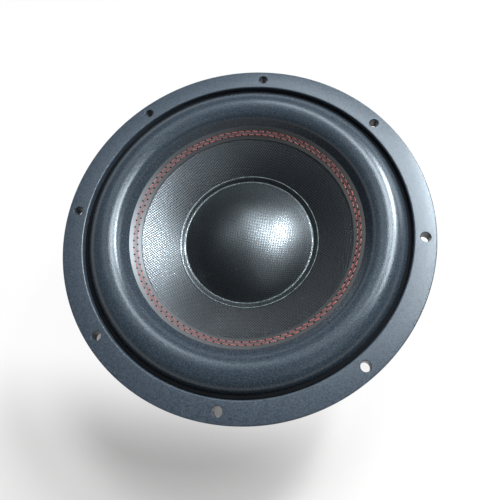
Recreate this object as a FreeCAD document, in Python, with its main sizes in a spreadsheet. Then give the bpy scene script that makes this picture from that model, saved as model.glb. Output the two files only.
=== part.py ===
"""Twelve-inch car subwoofer: frame, soft parts, double voice coil, double-magnet motor
and two push-terminal blocks.

Millimetres, +Z up.  The speaker lies on its magnet with the cone facing up: the origin is on
its axis, in the plane of the rubber boot's underside.  The two terminal blocks are at +X and -X,
the four spokes are on the diagonals.
"""

import FreeCAD, Part
import math
import os
import re

import Sketcher

SIZES = {
    # motor, from the boot's underside upwards
    "boot_floor": 3,
    "boot_wall": 3,
    "boot_opening_radius": 62,
    "boot_lip": 5,
    "back_plate_inset": 10,
    "back_plate_thickness": 12,
    "plate_chamfer": 1,
    "magnet_radius": 95,
    "magnet_bore_radius": 50,
    "magnet_thickness": 20,
    "top_plate_inset": 15,
    "top_plate_thickness": 12,
    "vent_radius": 14,
    "vent_flare": 3,
    "screen_radius": 18,
    "screen_thickness": 0.8,
    "screen_hole_radius": 1.1,
    "screen_hole_pitch": 3.8,
    "pole_rise": 2,
    "pole_cap_wall": 0.6,
    "pole_cap_length": 20,
    "shorting_ring_height": 12,
    "shorting_ring_width": 6,
    # voice coil
    "coil_bore_radius": 38.1,
    "former_wall": 0.4,
    "winding_layer": 0.8,
    "winding_height": 38,
    "former_tail": 2,
    "coil_gap": 0.6,
    # frame
    "basket_depth": 90,
    "flange_width": 17.8,
    "flange_thickness": 12,
    "flange_chamfer": 0.8,
    "spigot_radius": 140.2,
    "spigot_length": 12,
    "spigot_wall": 4,
    "rim_step": 0.2,
    "rim_rounding": 1.3,
    "seat_depth": 6,
    "seat_width": 7.6,
    "seat_thickness": 4,
    "bolt_edge_distance": 9,
    "bolt_hole_radius": 4,
    "bolt_count": 8,
    "cup_radius": 92,
    "cup_wall": 4,
    "cup_height": 28,
    "floor_thickness": 5,
    "floor_opening_radius": 56,
    "ledge_height": 23,
    "ledge_thickness": 3,
    "ledge_width": 9,
    "spoke_count": 4,
    "spoke_angle": 24,
    "spoke_thickness": 6,
    "spoke_rib_angle": 7,
    "spoke_rib_depth": 5,
    "spoke_foot": 14,
    "spoke_setback": 1,
    "cup_slot_count": 8,
    "cup_slot_angle": 10,
    "cup_slot_height": 8,
    "screw_edge_distance": 10,
    "screw_count": 8,
    "screw_radius": 2.5,
    "screw_head_radius": 4.5,
    "screw_head_height": 3,
    "screw_depth": 8,
    "screw_clearance": 0.05,
    "tap_runout": 1,
    # cone, cap and soft parts
    "cone_edge_radius": 101.5,
    "cone_edge_drop": 12,
    "cone_neck_gap": 5.1,
    "cone_thickness": 1.5,
    "neck_bead": 2.5,
    "former_rise": 2,
    "cap_radius": 58.6,
    "cap_rise": 17,
    "cap_thickness": 0.9,
    "cap_lip": 4.9,
    "glue_line": 0.1,
    "band_width": 8.5,
    "band_thickness": 1.1,
    "band_overhang": 0.9,
    "groove_width": 3.6,
    "roll_wall": 1.5,
    "roll_rise": 14.3,
    # corners of the roll's face: share of its width, share of its rise, slope in degrees
    "roll_flank_share": 0.121,
    "roll_flank_level": 0.497,
    "roll_flank_slope": 60,
    "roll_shoulder_share": 0.264,
    "roll_shoulder_level": 0.826,
    "roll_shoulder_slope": 28,
    "roll_crown_share": 0.735,
    "roll_crown_level": 0.943,
    "roll_crown_slope": -16,
    # how far the arcs between the corners stand off their chords
    "roll_shoulder_bulge": 0.48,
    "roll_crown_bulge": 1.57,
    "roll_outer_bulge": 1.4,
    "edge_thickness": 1.2,
    "edge_clearance": 0.4,
    "stitch_inset": 4.6,
    "stitch_row_gap": 2.7,
    "stitch_width": 0.8,
    "stitch_height": 0.5,
    "spider_ring_height": 2,
    "spider_clearance": 0.3,
    "spider_thickness": 0.8,
    "spider_lip": 0.7,
    "spider_wave": 1.5,
    "spider_wave_count": 4,
    "spider_neck_height": 3,
    # terminals
    "terminal_width": 46,
    "terminal_height": 24,
    "terminal_lift": 2,
    "terminal_base_depth": 6,
    "terminal_shell_depth": 14,
    "terminal_front_wall": 3,
    "terminal_spacing": 11,
    "button_width": 12,
    "button_height": 8,
    "button_drop": 6.5,
    "button_skirt": 0.7,
    "button_skirt_length": 1.5,
    "button_proud": 5,
    "button_fit": 0.3,
    "wire_hole_radius": 2.1,
    "wire_hole_level": 6.5,
    "contact_width": 5,
    "contact_thickness": 0.8,
    "contact_fit": 0.1,
    "contact_setback": 2.4,
    "contact_tail": 3,
    "tag_height": 6,
    "spring_radius": 2.4,
    "spring_wire": 0.35,
    "spring_turns": 4.5,
    "terminal_screw_radius": 1.5,
    "terminal_screw_head": 3,
    "terminal_screw_head_height": 1.8,
    "terminal_screw_level": 5,
    "lead_radius": 1,
    "lead_rise": 7,
    "lead_crest": 13,
    "lead_crest_reach": 9,
    "lead_fall": 11,
    "lead_fall_reach": 25,
    "lead_approach": 15,
    "lead_approach_rise": 3,
}

document = FreeCAD.newDocument("subwoofer")
sheet = document.addObject("Spreadsheet::Sheet", "sizes")
for row, (alias, size) in enumerate(SIZES.items(), start=1):
    sheet.set(f"A{row}", alias.replace("_", " "))
    sheet.set(f"B{row}", str(size))
    sheet.setAlias(f"B{row}", alias)
document.recompute()

# Heights above the boot's underside, and radii that follow from the sheet.
BACK_PLATE_RADIUS = "(magnet_radius - back_plate_inset)"
TOP_PLATE_RADIUS = "(magnet_radius - top_plate_inset)"
SCREW_CIRCLE = f"({TOP_PLATE_RADIUS} - screw_edge_distance)"
FLANGE_RADIUS = "(spigot_radius + flange_width)"
BOLT_CIRCLE = f"({FLANGE_RADIUS} - bolt_edge_distance)"
RIM_BORE = "(spigot_radius - rim_step)"
SEAT_INNER = f"({RIM_BORE} - seat_width)"
SPOKE_END = "(spigot_radius - spoke_setback)"
CUP_INNER = "(cup_radius - cup_wall)"
LEDGE_INNER = f"({CUP_INNER} - ledge_width)"
BAND_INNER = "(cone_edge_radius - band_width)"
BAND_OUTER = "(cone_edge_radius + band_overhang)"
ROLL_OUTER = f"({RIM_BORE} - groove_width)"
ROLL_WIDTH = f"({ROLL_OUTER} - {BAND_OUTER})"
BACK_PLATE_TOP = "(boot_floor + back_plate_thickness)"
MAGNETS_TOP = f"({BACK_PLATE_TOP} + 2 * magnet_thickness)"
MOTOR_TOP = f"({MAGNETS_TOP} + top_plate_thickness)"
FLANGE_TOP = f"({MOTOR_TOP} + basket_depth)"
FLANGE_BOTTOM = f"({FLANGE_TOP} - flange_thickness)"
SEAT_TOP = f"({FLANGE_TOP} - seat_depth)"
SPIGOT_BOTTOM = f"({FLANGE_BOTTOM} - spigot_length)"
CUP_TOP = f"({MOTOR_TOP} + cup_height)"
FLOOR_TOP = f"({MOTOR_TOP} + floor_thickness)"
LEDGE_TOP = f"({MOTOR_TOP} + ledge_height)"
SPIDER_RIM = f"({LEDGE_TOP} + spider_ring_height)"
SPIDER_NECK = f"({SPIDER_RIM} + spider_thickness + spider_neck_height)"
GAP_MIDDLE = f"({MAGNETS_TOP} + top_plate_thickness / 2)"
WINDING_BOTTOM = f"({GAP_MIDDLE} - winding_height / 2)"
WINDING_TOP = f"({GAP_MIDDLE} + winding_height / 2)"
FORMER_RADIUS = "(coil_bore_radius + former_wall)"
COIL_RADIUS = f"({FORMER_RADIUS} + 2 * winding_layer)"
POLE_RADIUS = "(coil_bore_radius - coil_gap)"
POLE_TOP = f"({MOTOR_TOP} + pole_rise)"
TERMINAL_BOTTOM = f"({MOTOR_TOP} + terminal_lift)"
TERMINAL_TOP = f"({TERMINAL_BOTTOM} + terminal_height)"
TERMINAL_MIDDLE = f"({TERMINAL_BOTTOM} + terminal_height / 2)"
BASE_FACE = "(cup_radius + terminal_base_depth)"
SHELL_FACE = f"({BASE_FACE} + terminal_shell_depth)"
BUTTON_LEVEL = f"({TERMINAL_TOP} - button_drop)"
CONTACT_BACK = "(cup_radius + contact_setback)"
CONTACT_FRONT = f"({CONTACT_BACK} + contact_thickness)"
SKIRT_FRONT = f"({SHELL_FACE} - terminal_front_wall - contact_fit)"
SKIRT_BACK = f"({SKIRT_FRONT} - button_skirt_length)"
CONE_EDGE = f"({FLANGE_TOP} - cone_edge_drop)"
CONE_NECK = f"({SPIDER_NECK} + cone_neck_gap)"
CONE_SLOPE = f"(({CONE_EDGE} - {CONE_NECK}) / (cone_edge_radius - {FORMER_RADIUS}))"


def cone_top(radius):
    """Height of the cone's front face at a radius."""
    return f"({CONE_EDGE} - (cone_edge_radius - {radius}) * {CONE_SLOPE})"


def band_top(radius):
    """Height of the front face of the surround's glued and stitched band."""
    return f"({cone_top(radius)} + glue_line + band_thickness)"


def bound(text):
    """The expression with each size's name pointing into the sheet."""
    return re.sub(r"\b([a-z]\w*)\b(?!\()", r"sizes.\1", str(text))


def value(text):
    """The number that an expression gives now."""
    return float(sheet.evalExpression(bound(text)))


def new_body(label):
    """An empty body with its origin planes."""
    body = document.addObject("PartDesign::Body", label)
    body.Label = label
    return body


def origin_item(body, role):
    """One of the body's own origin planes or axes."""
    return next(item for item in body.Origin.OriginFeatures if item.Role == role)


def new_sketch(body, name, plane="XZ_Plane", turn=0, shift=()):
    """A sketch on an origin plane, turned about Z or shifted by expressions (axis, text)."""
    sketch = body.newObject("Sketcher::SketchObject", name)
    sketch.AttachmentSupport = [(origin_item(body, plane), "")]
    sketch.MapMode = "FlatFace"
    turn_axis = FreeCAD.Vector(0, 1, 0)
    sketch.AttachmentOffset = FreeCAD.Placement(FreeCAD.Vector(), FreeCAD.Rotation(turn_axis, turn))
    for axis, text in shift:
        sketch.setExpression(f"AttachmentOffset.Base.{axis}", bound(text))
    return sketch


def pin_point(sketch, edge, end, across, up):
    """Fix one end of an edge at two bound coordinates."""
    for kind, text, line in (("DistanceX", across, -2), ("DistanceY", up, -1)):
        if text == "0":
            sketch.addConstraint(Sketcher.Constraint("PointOnObject", edge, end, line))
            continue
        number = sketch.addConstraint(Sketcher.Constraint(kind, -1, 1, edge, end, value(text)))
        sketch.setExpression(f"Constraints[{number}]", bound(text))


def arc_between(start, finish, radius, side):
    """The minor arc between two points, bulging to the left (1) or right (-1) of the way."""
    chord = finish - start
    left = FreeCAD.Vector(-chord.y, chord.x, 0).normalize()
    inset = math.sqrt(max(radius**2 - (chord.Length / 2) ** 2, 0))
    middle = start + chord / 2 + left * side * (radius - inset)
    return Part.Arc(start, middle, finish)


def draw_outline(sketch, corners):
    """Close an outline through corners (across, up[, arc radius, side to the next corner])."""
    points = [FreeCAD.Vector(value(corner[0]), value(corner[1]), 0) for corner in corners]
    ends = []
    for number, corner in enumerate(corners):
        start = points[number]
        finish = points[(number + 1) % len(points)]
        if len(corner) == 4:
            edge = sketch.addGeometry(arc_between(start, finish, value(corner[2]), corner[3]), False)
            radius = sketch.addConstraint(Sketcher.Constraint("Radius", edge, value(corner[2])))
            sketch.setExpression(f"Constraints[{radius}]", bound(corner[2]))
        else:
            edge = sketch.addGeometry(Part.LineSegment(start, finish), False)
        near = 1 if sketch.getPoint(edge, 1).distanceToPoint(start) < 1e-6 else 2
        ends.append((edge, near))
        pin_point(sketch, edge, near, corner[0], corner[1])
    for number, (edge, near) in enumerate(ends):
        next_edge, next_near = ends[(number + 1) % len(ends)]
        sketch.addConstraint(Sketcher.Constraint("Coincident", edge, 3 - near, next_edge, next_near))


def draw_circle(sketch, across, up, radius):
    """A circle with bound centre and radius."""
    centre = FreeCAD.Vector(value(across), value(up), 0)
    circle = Part.Circle(centre, FreeCAD.Vector(0, 0, 1), value(radius))
    edge = sketch.addGeometry(circle, False)
    pin_point(sketch, edge, 3, across, up)
    number = sketch.addConstraint(Sketcher.Constraint("Radius", edge, value(radius)))
    sketch.setExpression(f"Constraints[{number}]", bound(radius))


def box_corners(left, right, bottom, top):
    """The four corners of an upright rectangle."""
    return [(left, bottom), (right, bottom), (right, top), (left, top)]


def turned(body, name, outlines, angle="360", turn=0, cut=False, axis=None, shift=()):
    """Turn closed outlines about the body's Z axis, or about the sketch's own upright axis."""
    sketch = new_sketch(body, f"{name}_outline", turn=turn, shift=shift)
    for corners in outlines:
        draw_outline(sketch, corners)
    kind = "PartDesign::Groove" if cut else "PartDesign::Revolution"
    feature = body.newObject(kind, name)
    feature.Profile = sketch
    feature.ReferenceAxis = (sketch, [axis]) if axis else (origin_item(body, "Z_Axis"), [""])
    feature.Midplane = True
    feature.setExpression("Angle", bound(angle))
    document.recompute()
    return feature


def extruded(body, name, sketch, length, cut=False, flip=False):
    """Raise a sketch along its plane's normal, or sink it against that normal."""
    feature = body.newObject("PartDesign::Pocket" if cut else "PartDesign::Pad", name)
    feature.Profile = sketch
    feature.Reversed = flip
    feature.setExpression("Length", bound(length))
    document.recompute()
    return feature


def repeated(body, name, features, count, angle=360):
    """Repeat features evenly about the body's Z axis."""
    pattern = body.newObject("PartDesign::PolarPattern", name)
    pattern.Originals = features
    pattern.Axis = (origin_item(body, "Z_Axis"), [""])
    pattern.Angle = angle
    pattern.setExpression("Occurrences", bound(count))
    body.Tip = pattern
    document.recompute()
    return pattern


def ring(label, inner, outer, bottom, top):
    """A plain ring about the Z axis."""
    body = new_body(label)
    turned(body, f"{label}_turned", [box_corners(inner, outer, bottom, top)])
    return body


# ---------------------------------------------------------------- frame


def make_basket_rim():
    """Upper part of the frame: flange with bolt holes, surround seat and spigot."""
    body = new_body("basket_rim")
    rim = [
        (SEAT_INNER, SEAT_TOP),
        (RIM_BORE, SEAT_TOP),
        (RIM_BORE, f"{FLANGE_TOP} - rim_rounding", "rim_rounding", 1),
        (f"{RIM_BORE} + rim_rounding", FLANGE_TOP),
        (f"{FLANGE_RADIUS} - flange_chamfer", FLANGE_TOP),
        (FLANGE_RADIUS, f"{FLANGE_TOP} - flange_chamfer"),
        (FLANGE_RADIUS, FLANGE_BOTTOM),
        ("spigot_radius", FLANGE_BOTTOM),
        ("spigot_radius", SPIGOT_BOTTOM),
        ("spigot_radius - spigot_wall", SPIGOT_BOTTOM),
        ("spigot_radius - spigot_wall", f"{SEAT_TOP} - seat_thickness"),
        (SEAT_INNER, f"{SEAT_TOP} - seat_thickness"),
    ]
    turned(body, "rim", [rim])
    holes = new_sketch(body, "bolt_hole_outline", "XY_Plane", shift=[("z", FLANGE_TOP)])
    first_hole = "180 / bolt_count"
    across = f"{BOLT_CIRCLE} * cos({first_hole})"
    draw_circle(holes, across, f"{BOLT_CIRCLE} * sin({first_hole})", "bolt_hole_radius")
    hole = extruded(body, "bolt_hole", holes, "2 * flange_thickness", cut=True)
    repeated(body, "bolt_holes", [hole], "bolt_count")
    return body


def make_basket_spokes():
    """The frame's four sloping spokes, each with a rib outside, between spigot and cup."""
    body = new_body("basket_spokes")
    foot = f"({MOTOR_TOP} + spoke_rib_depth)"
    web = [
        ("cup_radius", foot),
        (SPOKE_END, f"{SPIGOT_BOTTOM} - spoke_thickness"),
        (SPOKE_END, SPIGOT_BOTTOM),
        ("spigot_radius - spigot_wall", SPIGOT_BOTTOM),
        ("cup_radius", f"{foot} + spoke_foot"),
    ]
    spoke = turned(body, "spoke", [web], angle="spoke_angle", turn=45)
    rib_outline = [
        ("cup_radius", MOTOR_TOP),
        (SPOKE_END, f"{SPIGOT_BOTTOM} - spoke_thickness - spoke_rib_depth"),
        (SPOKE_END, f"{SPIGOT_BOTTOM} - spoke_thickness / 2"),
        ("cup_radius", f"{foot} + spoke_foot / 2"),
    ]
    rib = turned(body, "spoke_rib", [rib_outline], angle="spoke_rib_angle", turn=45)
    repeated(body, "spokes", [spoke, rib], "spoke_count")
    return body


def make_basket_cup():
    """Lower part of the frame: cup with a floor on the motor, the spider's ledge and slots."""
    body = new_body("basket_cup")
    cup = [
        ("floor_opening_radius", MOTOR_TOP),
        ("cup_radius", MOTOR_TOP),
        ("cup_radius", CUP_TOP),
        (CUP_INNER, CUP_TOP),
        (CUP_INNER, LEDGE_TOP),
        (LEDGE_INNER, LEDGE_TOP),
        (LEDGE_INNER, f"{LEDGE_TOP} - ledge_thickness"),
        (CUP_INNER, f"{LEDGE_TOP} - ledge_thickness"),
        (CUP_INNER, FLOOR_TOP),
        ("floor_opening_radius", FLOOR_TOP),
    ]
    turned(body, "cup", [cup])
    slot_middle = f"({FLOOR_TOP} + {LEDGE_TOP} - ledge_thickness) / 2"
    slot_outline = box_corners(
        "cup_radius - 2 * cup_wall",
        "cup_radius + cup_wall",
        f"{slot_middle} - cup_slot_height / 2",
        f"{slot_middle} + cup_slot_height / 2",
    )
    slot = turned(body, "cup_slot", [slot_outline], "cup_slot_angle", turn=22.5, cut=True)
    repeated(body, "cup_slots", [slot], "cup_slot_count")
    screws = new_sketch(body, "floor_screw_outline", "XY_Plane", shift=[("z", FLOOR_TOP)])
    draw_circle(screws, SCREW_CIRCLE, "0", "screw_radius + screw_clearance")
    screw_hole = extruded(body, "floor_screw_hole", screws, "2 * floor_thickness", cut=True)
    repeated(body, "floor_screw_holes", [screw_hole], "screw_count")
    sides = new_sketch(body, "terminal_hole_outline", "YZ_Plane", shift=[("z", "cup_radius + cup_wall")])
    for level in terminal_screw_levels():
        draw_circle(sides, "0", level, "terminal_screw_radius + screw_clearance")
    side_hole = extruded(body, "terminal_hole", sides, "3 * cup_wall", cut=True)
    repeated(body, "terminal_holes", [side_hole], "2")
    return body


def terminal_screw_levels():
    """Heights of the two screws through each terminal block."""
    return f"({TERMINAL_BOTTOM} + terminal_screw_level)", f"({TERMINAL_TOP} - terminal_screw_level)"


def make_floor_screws():
    """Pan-head screws that hold the frame on the top plate."""
    body = new_body("floor_screws")
    screw = [
        ("0", f"{MOTOR_TOP} - screw_depth"),
        ("screw_radius", f"{MOTOR_TOP} - screw_depth"),
        ("screw_radius", FLOOR_TOP),
        ("screw_head_radius", FLOOR_TOP),
        ("screw_head_radius", f"{FLOOR_TOP} + 0.6 * screw_head_height"),
        ("0.6 * screw_head_radius", f"{FLOOR_TOP} + screw_head_height"),
        ("0", f"{FLOOR_TOP} + screw_head_height"),
    ]
    shift = [("x", SCREW_CIRCLE)]
    single = turned(body, "floor_screw", [screw], axis="V_Axis", shift=shift)
    repeated(body, "floor_screw_ring", [single], "screw_count")
    return body


# ---------------------------------------------------------------- motor


def make_top_plate():
    """Steel washer around the coil, with blind tapped holes for the frame's screws."""
    body = ring("top_plate", f"{COIL_RADIUS} + coil_gap", TOP_PLATE_RADIUS, MAGNETS_TOP, MOTOR_TOP)
    holes = new_sketch(body, "tapped_outline", "XY_Plane", shift=[("z", MOTOR_TOP)])
    draw_circle(holes, SCREW_CIRCLE, "0", "screw_radius + screw_clearance")
    hole = extruded(body, "tapped_hole", holes, "screw_depth + tap_runout", cut=True)
    repeated(body, "tapped_holes", [hole], "screw_count")
    return body


def make_yoke():
    """Back plate and vented pole in one steel piece, with a flare and a screen seat behind."""
    body = new_body("yoke")
    neck = f"{POLE_RADIUS} - pole_cap_wall"
    outline = [
        ("screen_radius", "boot_floor"),
        (f"{BACK_PLATE_RADIUS} - plate_chamfer", "boot_floor"),
        (BACK_PLATE_RADIUS, "boot_floor + plate_chamfer"),
        (BACK_PLATE_RADIUS, BACK_PLATE_TOP),
        (POLE_RADIUS, BACK_PLATE_TOP),
        (POLE_RADIUS, f"{POLE_TOP} - pole_cap_length"),
        (neck, f"{POLE_TOP} - pole_cap_length"),
        (neck, POLE_TOP),
        ("vent_radius + vent_flare", POLE_TOP),
        ("vent_radius", f"{POLE_TOP} - vent_flare"),
        ("vent_radius", "boot_floor + 2 * screen_thickness"),
        ("screen_radius", "boot_floor + 2 * screen_thickness"),
    ]
    turned(body, "yoke_turned", [outline])
    return body


def make_pole_cap():
    """Thin copper cap over the pole's upper end."""
    body = new_body("pole_cap")
    neck = f"{POLE_RADIUS} - pole_cap_wall"
    outline = [
        (neck, f"{POLE_TOP} - pole_cap_length"),
        (POLE_RADIUS, f"{POLE_TOP} - pole_cap_length"),
        (POLE_RADIUS, f"{POLE_TOP} + pole_cap_wall"),
        ("vent_radius + vent_flare", f"{POLE_TOP} + pole_cap_wall"),
        ("vent_radius + vent_flare", POLE_TOP),
        (neck, POLE_TOP),
    ]
    turned(body, "pole_cap_turned", [outline])
    return body


def make_vent_screen():
    """Punched disc over the rear mouth of the vent."""
    body = new_body("vent_screen")
    bottom = "(boot_floor + screen_thickness)"
    sketch = new_sketch(body, "disc_outline", "XY_Plane", shift=[("z", bottom)])
    draw_circle(sketch, "0", "0", "screen_radius - contact_fit")
    extruded(body, "disc", sketch, "screen_thickness")
    centre = new_sketch(body, "centre_outline", "XY_Plane", shift=[("z", f"{bottom} + screen_thickness")])
    draw_circle(centre, "0", "0", "screen_hole_radius")
    extruded(body, "centre_hole", centre, "2 * screen_thickness", cut=True)
    for circle in (1, 2, 3):
        name = f"hole_circle_{circle}"
        place = [("z", f"{bottom} + screen_thickness")]
        holes = new_sketch(body, f"{name}_outline", "XY_Plane", shift=place)
        draw_circle(holes, f"{circle} * screen_hole_pitch", "0", "screen_hole_radius")
        hole = extruded(body, f"{name}_hole", holes, "2 * screen_thickness", cut=True)
        repeated(body, name, [hole], f"{6 * circle}")
    return body


def make_magnet_boot():
    """Rubber boot over the magnets and the back plate's edge; the speaker rests on it."""
    body = new_body("magnet_boot")
    outer = "(magnet_radius + boot_wall)"
    top = f"({MAGNETS_TOP} + boot_wall / 2)"
    outline = [
        ("boot_opening_radius", "0"),
        (f"{outer} - boot_wall", "0", "boot_wall", -1),
        (outer, "boot_wall"),
        (outer, f"{top} - boot_wall / 2", "boot_wall / 2", -1),
        (f"{outer} - boot_wall / 2", top),
        ("magnet_radius - boot_lip", top),
        ("magnet_radius - boot_lip", MAGNETS_TOP),
        ("magnet_radius", MAGNETS_TOP),
        ("magnet_radius", BACK_PLATE_TOP),
        (BACK_PLATE_RADIUS, BACK_PLATE_TOP),
        (BACK_PLATE_RADIUS, "boot_floor + plate_chamfer"),
        (f"{BACK_PLATE_RADIUS} - plate_chamfer", "boot_floor"),
        ("boot_opening_radius", "boot_floor"),
    ]
    turned(body, "boot_turned", [outline])
    return body


def make_motor():
    """Plates, magnets and rings below the frame."""
    magnets_middle = f"({BACK_PLATE_TOP} + magnet_thickness)"
    ring("lower_magnet", "magnet_bore_radius", "magnet_radius", BACK_PLATE_TOP, magnets_middle)
    ring("upper_magnet", "magnet_bore_radius", "magnet_radius", magnets_middle, MAGNETS_TOP)
    ring_inner = "magnet_bore_radius - shorting_ring_width"
    ring_top = f"{BACK_PLATE_TOP} + shorting_ring_height"
    ring("shorting_ring", ring_inner, "magnet_bore_radius", BACK_PLATE_TOP, ring_top)
    make_top_plate()
    make_yoke()
    make_pole_cap()
    make_vent_screen()
    make_magnet_boot()


# ---------------------------------------------------------------- moving parts


def make_cone():
    """Straight-sided cone from the former out to the surround."""
    body = new_body("cone")
    inner = FORMER_RADIUS
    outline = [
        (inner, f"{cone_top(inner)} - cone_thickness"),
        ("cone_edge_radius", f"{cone_top('cone_edge_radius')} - cone_thickness"),
        ("cone_edge_radius", cone_top("cone_edge_radius")),
        (inner, cone_top(inner)),
    ]
    turned(body, "cone_turned", [outline])
    return body


def make_neck_bead():
    """Bead of adhesive between the former and the cone's neck."""
    body = new_body("neck_bead")
    inner = FORMER_RADIUS
    outer = f"({inner} + neck_bead)"
    outline = [(inner, cone_top(inner)), (outer, cone_top(outer)), (inner, cone_top(outer))]
    turned(body, "bead_turned", [outline])
    return body


def make_dust_cap():
    """Domed cap with a narrow lip that is glued on the cone."""
    body = new_body("dust_cap")
    rim = f"({cone_top('cap_radius')} + cap_thickness)"
    top = f"({rim} + cap_rise)"
    inner = "(cap_radius - cap_thickness)"
    inner_rise = f"({top} - cap_thickness - {cone_top(inner)})"
    lip = "(cap_radius + cap_lip)"
    outline = [
        ("0", top, "(cap_radius * cap_radius + cap_rise * cap_rise) / (2 * cap_rise)", 1),
        ("cap_radius", rim),
        (lip, f"{cone_top(lip)} + cap_thickness"),
        (lip, cone_top(lip)),
        (
            inner,
            cone_top(inner),
            f"({inner} * {inner} + {inner_rise} * {inner_rise}) / (2 * {inner_rise})",
            -1,
        ),
        ("0", f"{top} - cap_thickness"),
    ]
    turned(body, "cap_turned", [outline])
    return body


def make_stitching():
    """Two rows of thread on the surround's band."""
    body = new_body("band_stitching")
    rows = []
    for side in (-1, 1):
        middle = f"({BAND_INNER} + stitch_inset + {side} * stitch_row_gap / 2)"
        inner = f"({middle} - stitch_width / 2)"
        outer = f"({middle} + stitch_width / 2)"
        row_outline = [
            (inner, band_top(inner)),
            (outer, band_top(outer)),
            (outer, f"{band_top(outer)} + stitch_height"),
            (inner, f"{band_top(inner)} + stitch_height"),
        ]
        rows.append(row_outline)
    turned(body, "stitch_rows", rows)
    return body


def make_voice_coil():
    """Former and the two windings, one on the other."""
    bottom = f"{WINDING_BOTTOM} - former_tail"
    top = f"{cone_top(FORMER_RADIUS)} + former_rise"
    ring("coil_former", "coil_bore_radius", FORMER_RADIUS, bottom, top)
    middle = f"({FORMER_RADIUS} + winding_layer)"
    ring("inner_winding", FORMER_RADIUS, middle, WINDING_BOTTOM, WINDING_TOP)
    ring("outer_winding", middle, COIL_RADIUS, WINDING_BOTTOM, WINDING_TOP)


# ---------------------------------------------------------------- suspension


def arc_radius(span, rise, sagitta):
    """Radius of the arc over a sloping chord whose middle stands off the chord by the sagitta."""
    return f"(({span} * {span} + {rise} * {rise}) / 4 + {sagitta} * {sagitta}) / (2 * {sagitta})"


def roll_corner(name):
    """A corner of the roll's face, by its shares of the roll's width and rise."""
    across = f"({BAND_OUTER} + roll_{name}_share * {ROLL_WIDTH})"
    return across, f"({band_top(BAND_OUTER)} + roll_{name}_level * roll_rise)"


def hollow_corner(name):
    """The same corner on the hollow side, off by the wall square to the face."""
    across, up = roll_corner(name)
    return f"({across} + roll_wall * sin(roll_{name}_slope))", f"({up} - roll_wall * cos(roll_{name}_slope))"


def arc_from(start, finish, sagitta, side):
    """An outline's corner whose arc to the next corner stands off its chord by the sagitta."""
    radius = arc_radius(f"({finish[0]} - {start[0]})", f"({finish[1]} - {start[1]})", sagitta)
    return (*start, radius, side)


def make_surround():
    """Surround: glued edge on the frame's seat, roll with a straight inner flank, and band on the cone."""
    body = new_body("surround")
    ledge_underside = f"({cone_top(BAND_OUTER)} + glue_line)"
    inside_foot = f"({BAND_OUTER} + (roll_wall - band_thickness * cos(roll_flank_slope)) / sin(roll_flank_slope))"
    outside = (ROLL_OUTER, f"({SEAT_TOP} + edge_thickness)")
    outside_foot = (f"({ROLL_OUTER} - 0.75 * roll_wall)", SEAT_TOP)
    flank, shoulder, crown = (roll_corner(name) for name in ("flank", "shoulder", "crown"))
    flank_under, shoulder_under, crown_under = (hollow_corner(name) for name in ("flank", "shoulder", "crown"))
    edge_radius = f"({RIM_BORE} - edge_clearance)"
    outline = [
        (BAND_INNER, f"{cone_top(BAND_INNER)} + glue_line"),
        (BAND_OUTER, ledge_underside),
        (inside_foot, ledge_underside),
        arc_from(flank_under, shoulder_under, "(roll_shoulder_bulge - 0.04 * roll_wall)", 1),
        arc_from(shoulder_under, crown_under, "(roll_crown_bulge - 0.07 * roll_wall)", 1),
        arc_from(crown_under, outside_foot, "roll_outer_bulge", 1),
        outside_foot,
        (edge_radius, SEAT_TOP),
        (edge_radius, outside[1]),
        arc_from(outside, crown, "roll_outer_bulge", -1),
        arc_from(crown, shoulder, "roll_crown_bulge", -1),
        arc_from(shoulder, flank, "roll_shoulder_bulge", -1),
        flank,
        (BAND_OUTER, band_top(BAND_OUTER)),
        (BAND_INNER, band_top(BAND_INNER)),
    ]
    turned(body, "surround_turned", [outline])
    return body


def make_spider():
    """Corrugated cloth disc: rim on its ring, four waves, and a neck on the former."""
    body = new_body("spider")
    neck = f"({FORMER_RADIUS} + glue_line)"
    waves_start = f"({neck} + spider_thickness)"
    waves_end = f"({LEDGE_INNER} + spider_lip)"
    half_wave_count = 2 * round(value("spider_wave_count"))
    length = f"(({waves_end} - {waves_start}) / (2 * spider_wave_count))"
    arc = arc_radius(length, "0", "spider_wave")
    rim_outer = f"({CUP_INNER} - spider_clearance)"
    low = SPIDER_RIM
    high = f"({SPIDER_RIM} + spider_thickness)"
    knots = [f"({waves_start} + {number} * {length})" for number in range(half_wave_count + 1)]
    outline = [(neck, low)]
    for number in range(half_wave_count):
        outline.append((knots[number], low, arc, 1 if number % 2 else -1))
    outline += [(knots[-1], low), (rim_outer, low), (rim_outer, high)]
    for number in reversed(range(half_wave_count)):
        outline.append((knots[number + 1], high, arc, -1 if number % 2 else 1))
    outline += [(waves_start, high), (waves_start, SPIDER_NECK), (neck, SPIDER_NECK)]
    turned(body, "spider_turned", [outline])
    return body


def make_suspension():
    """Surround, spider and the ring that the spider is glued on."""
    make_surround()
    make_spider()
    ring("spider_ring", LEDGE_INNER, f"{CUP_INNER} - spider_clearance", LEDGE_TOP, SPIDER_RIM)


# ---------------------------------------------------------------- terminals


def half_turn(body, side):
    """Put a terminal piece on the +X side (1) or, turned by half a turn, on the -X side (-1)."""
    if side < 0:
        body.Placement = FreeCAD.Placement(FreeCAD.Vector(), FreeCAD.Rotation(FreeCAD.Vector(0, 0, 1), 180))
    return body


def side_sketch(body, name, level):
    """A sketch that looks along -X, at a distance from the speaker's axis."""
    return new_sketch(body, name, "YZ_Plane", shift=[("z", level)])


def draw_centred_box(sketch, across, up, width, height):
    """A rectangle about a centre."""
    left = f"{across} - ({width}) / 2"
    right = f"{across} + ({width}) / 2"
    draw_outline(sketch, box_corners(left, right, f"{up} - ({height}) / 2", f"{up} + ({height}) / 2"))


def contact_places():
    """The two poles' places across a block."""
    return "(0 - terminal_spacing)", "(terminal_spacing)"


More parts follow.
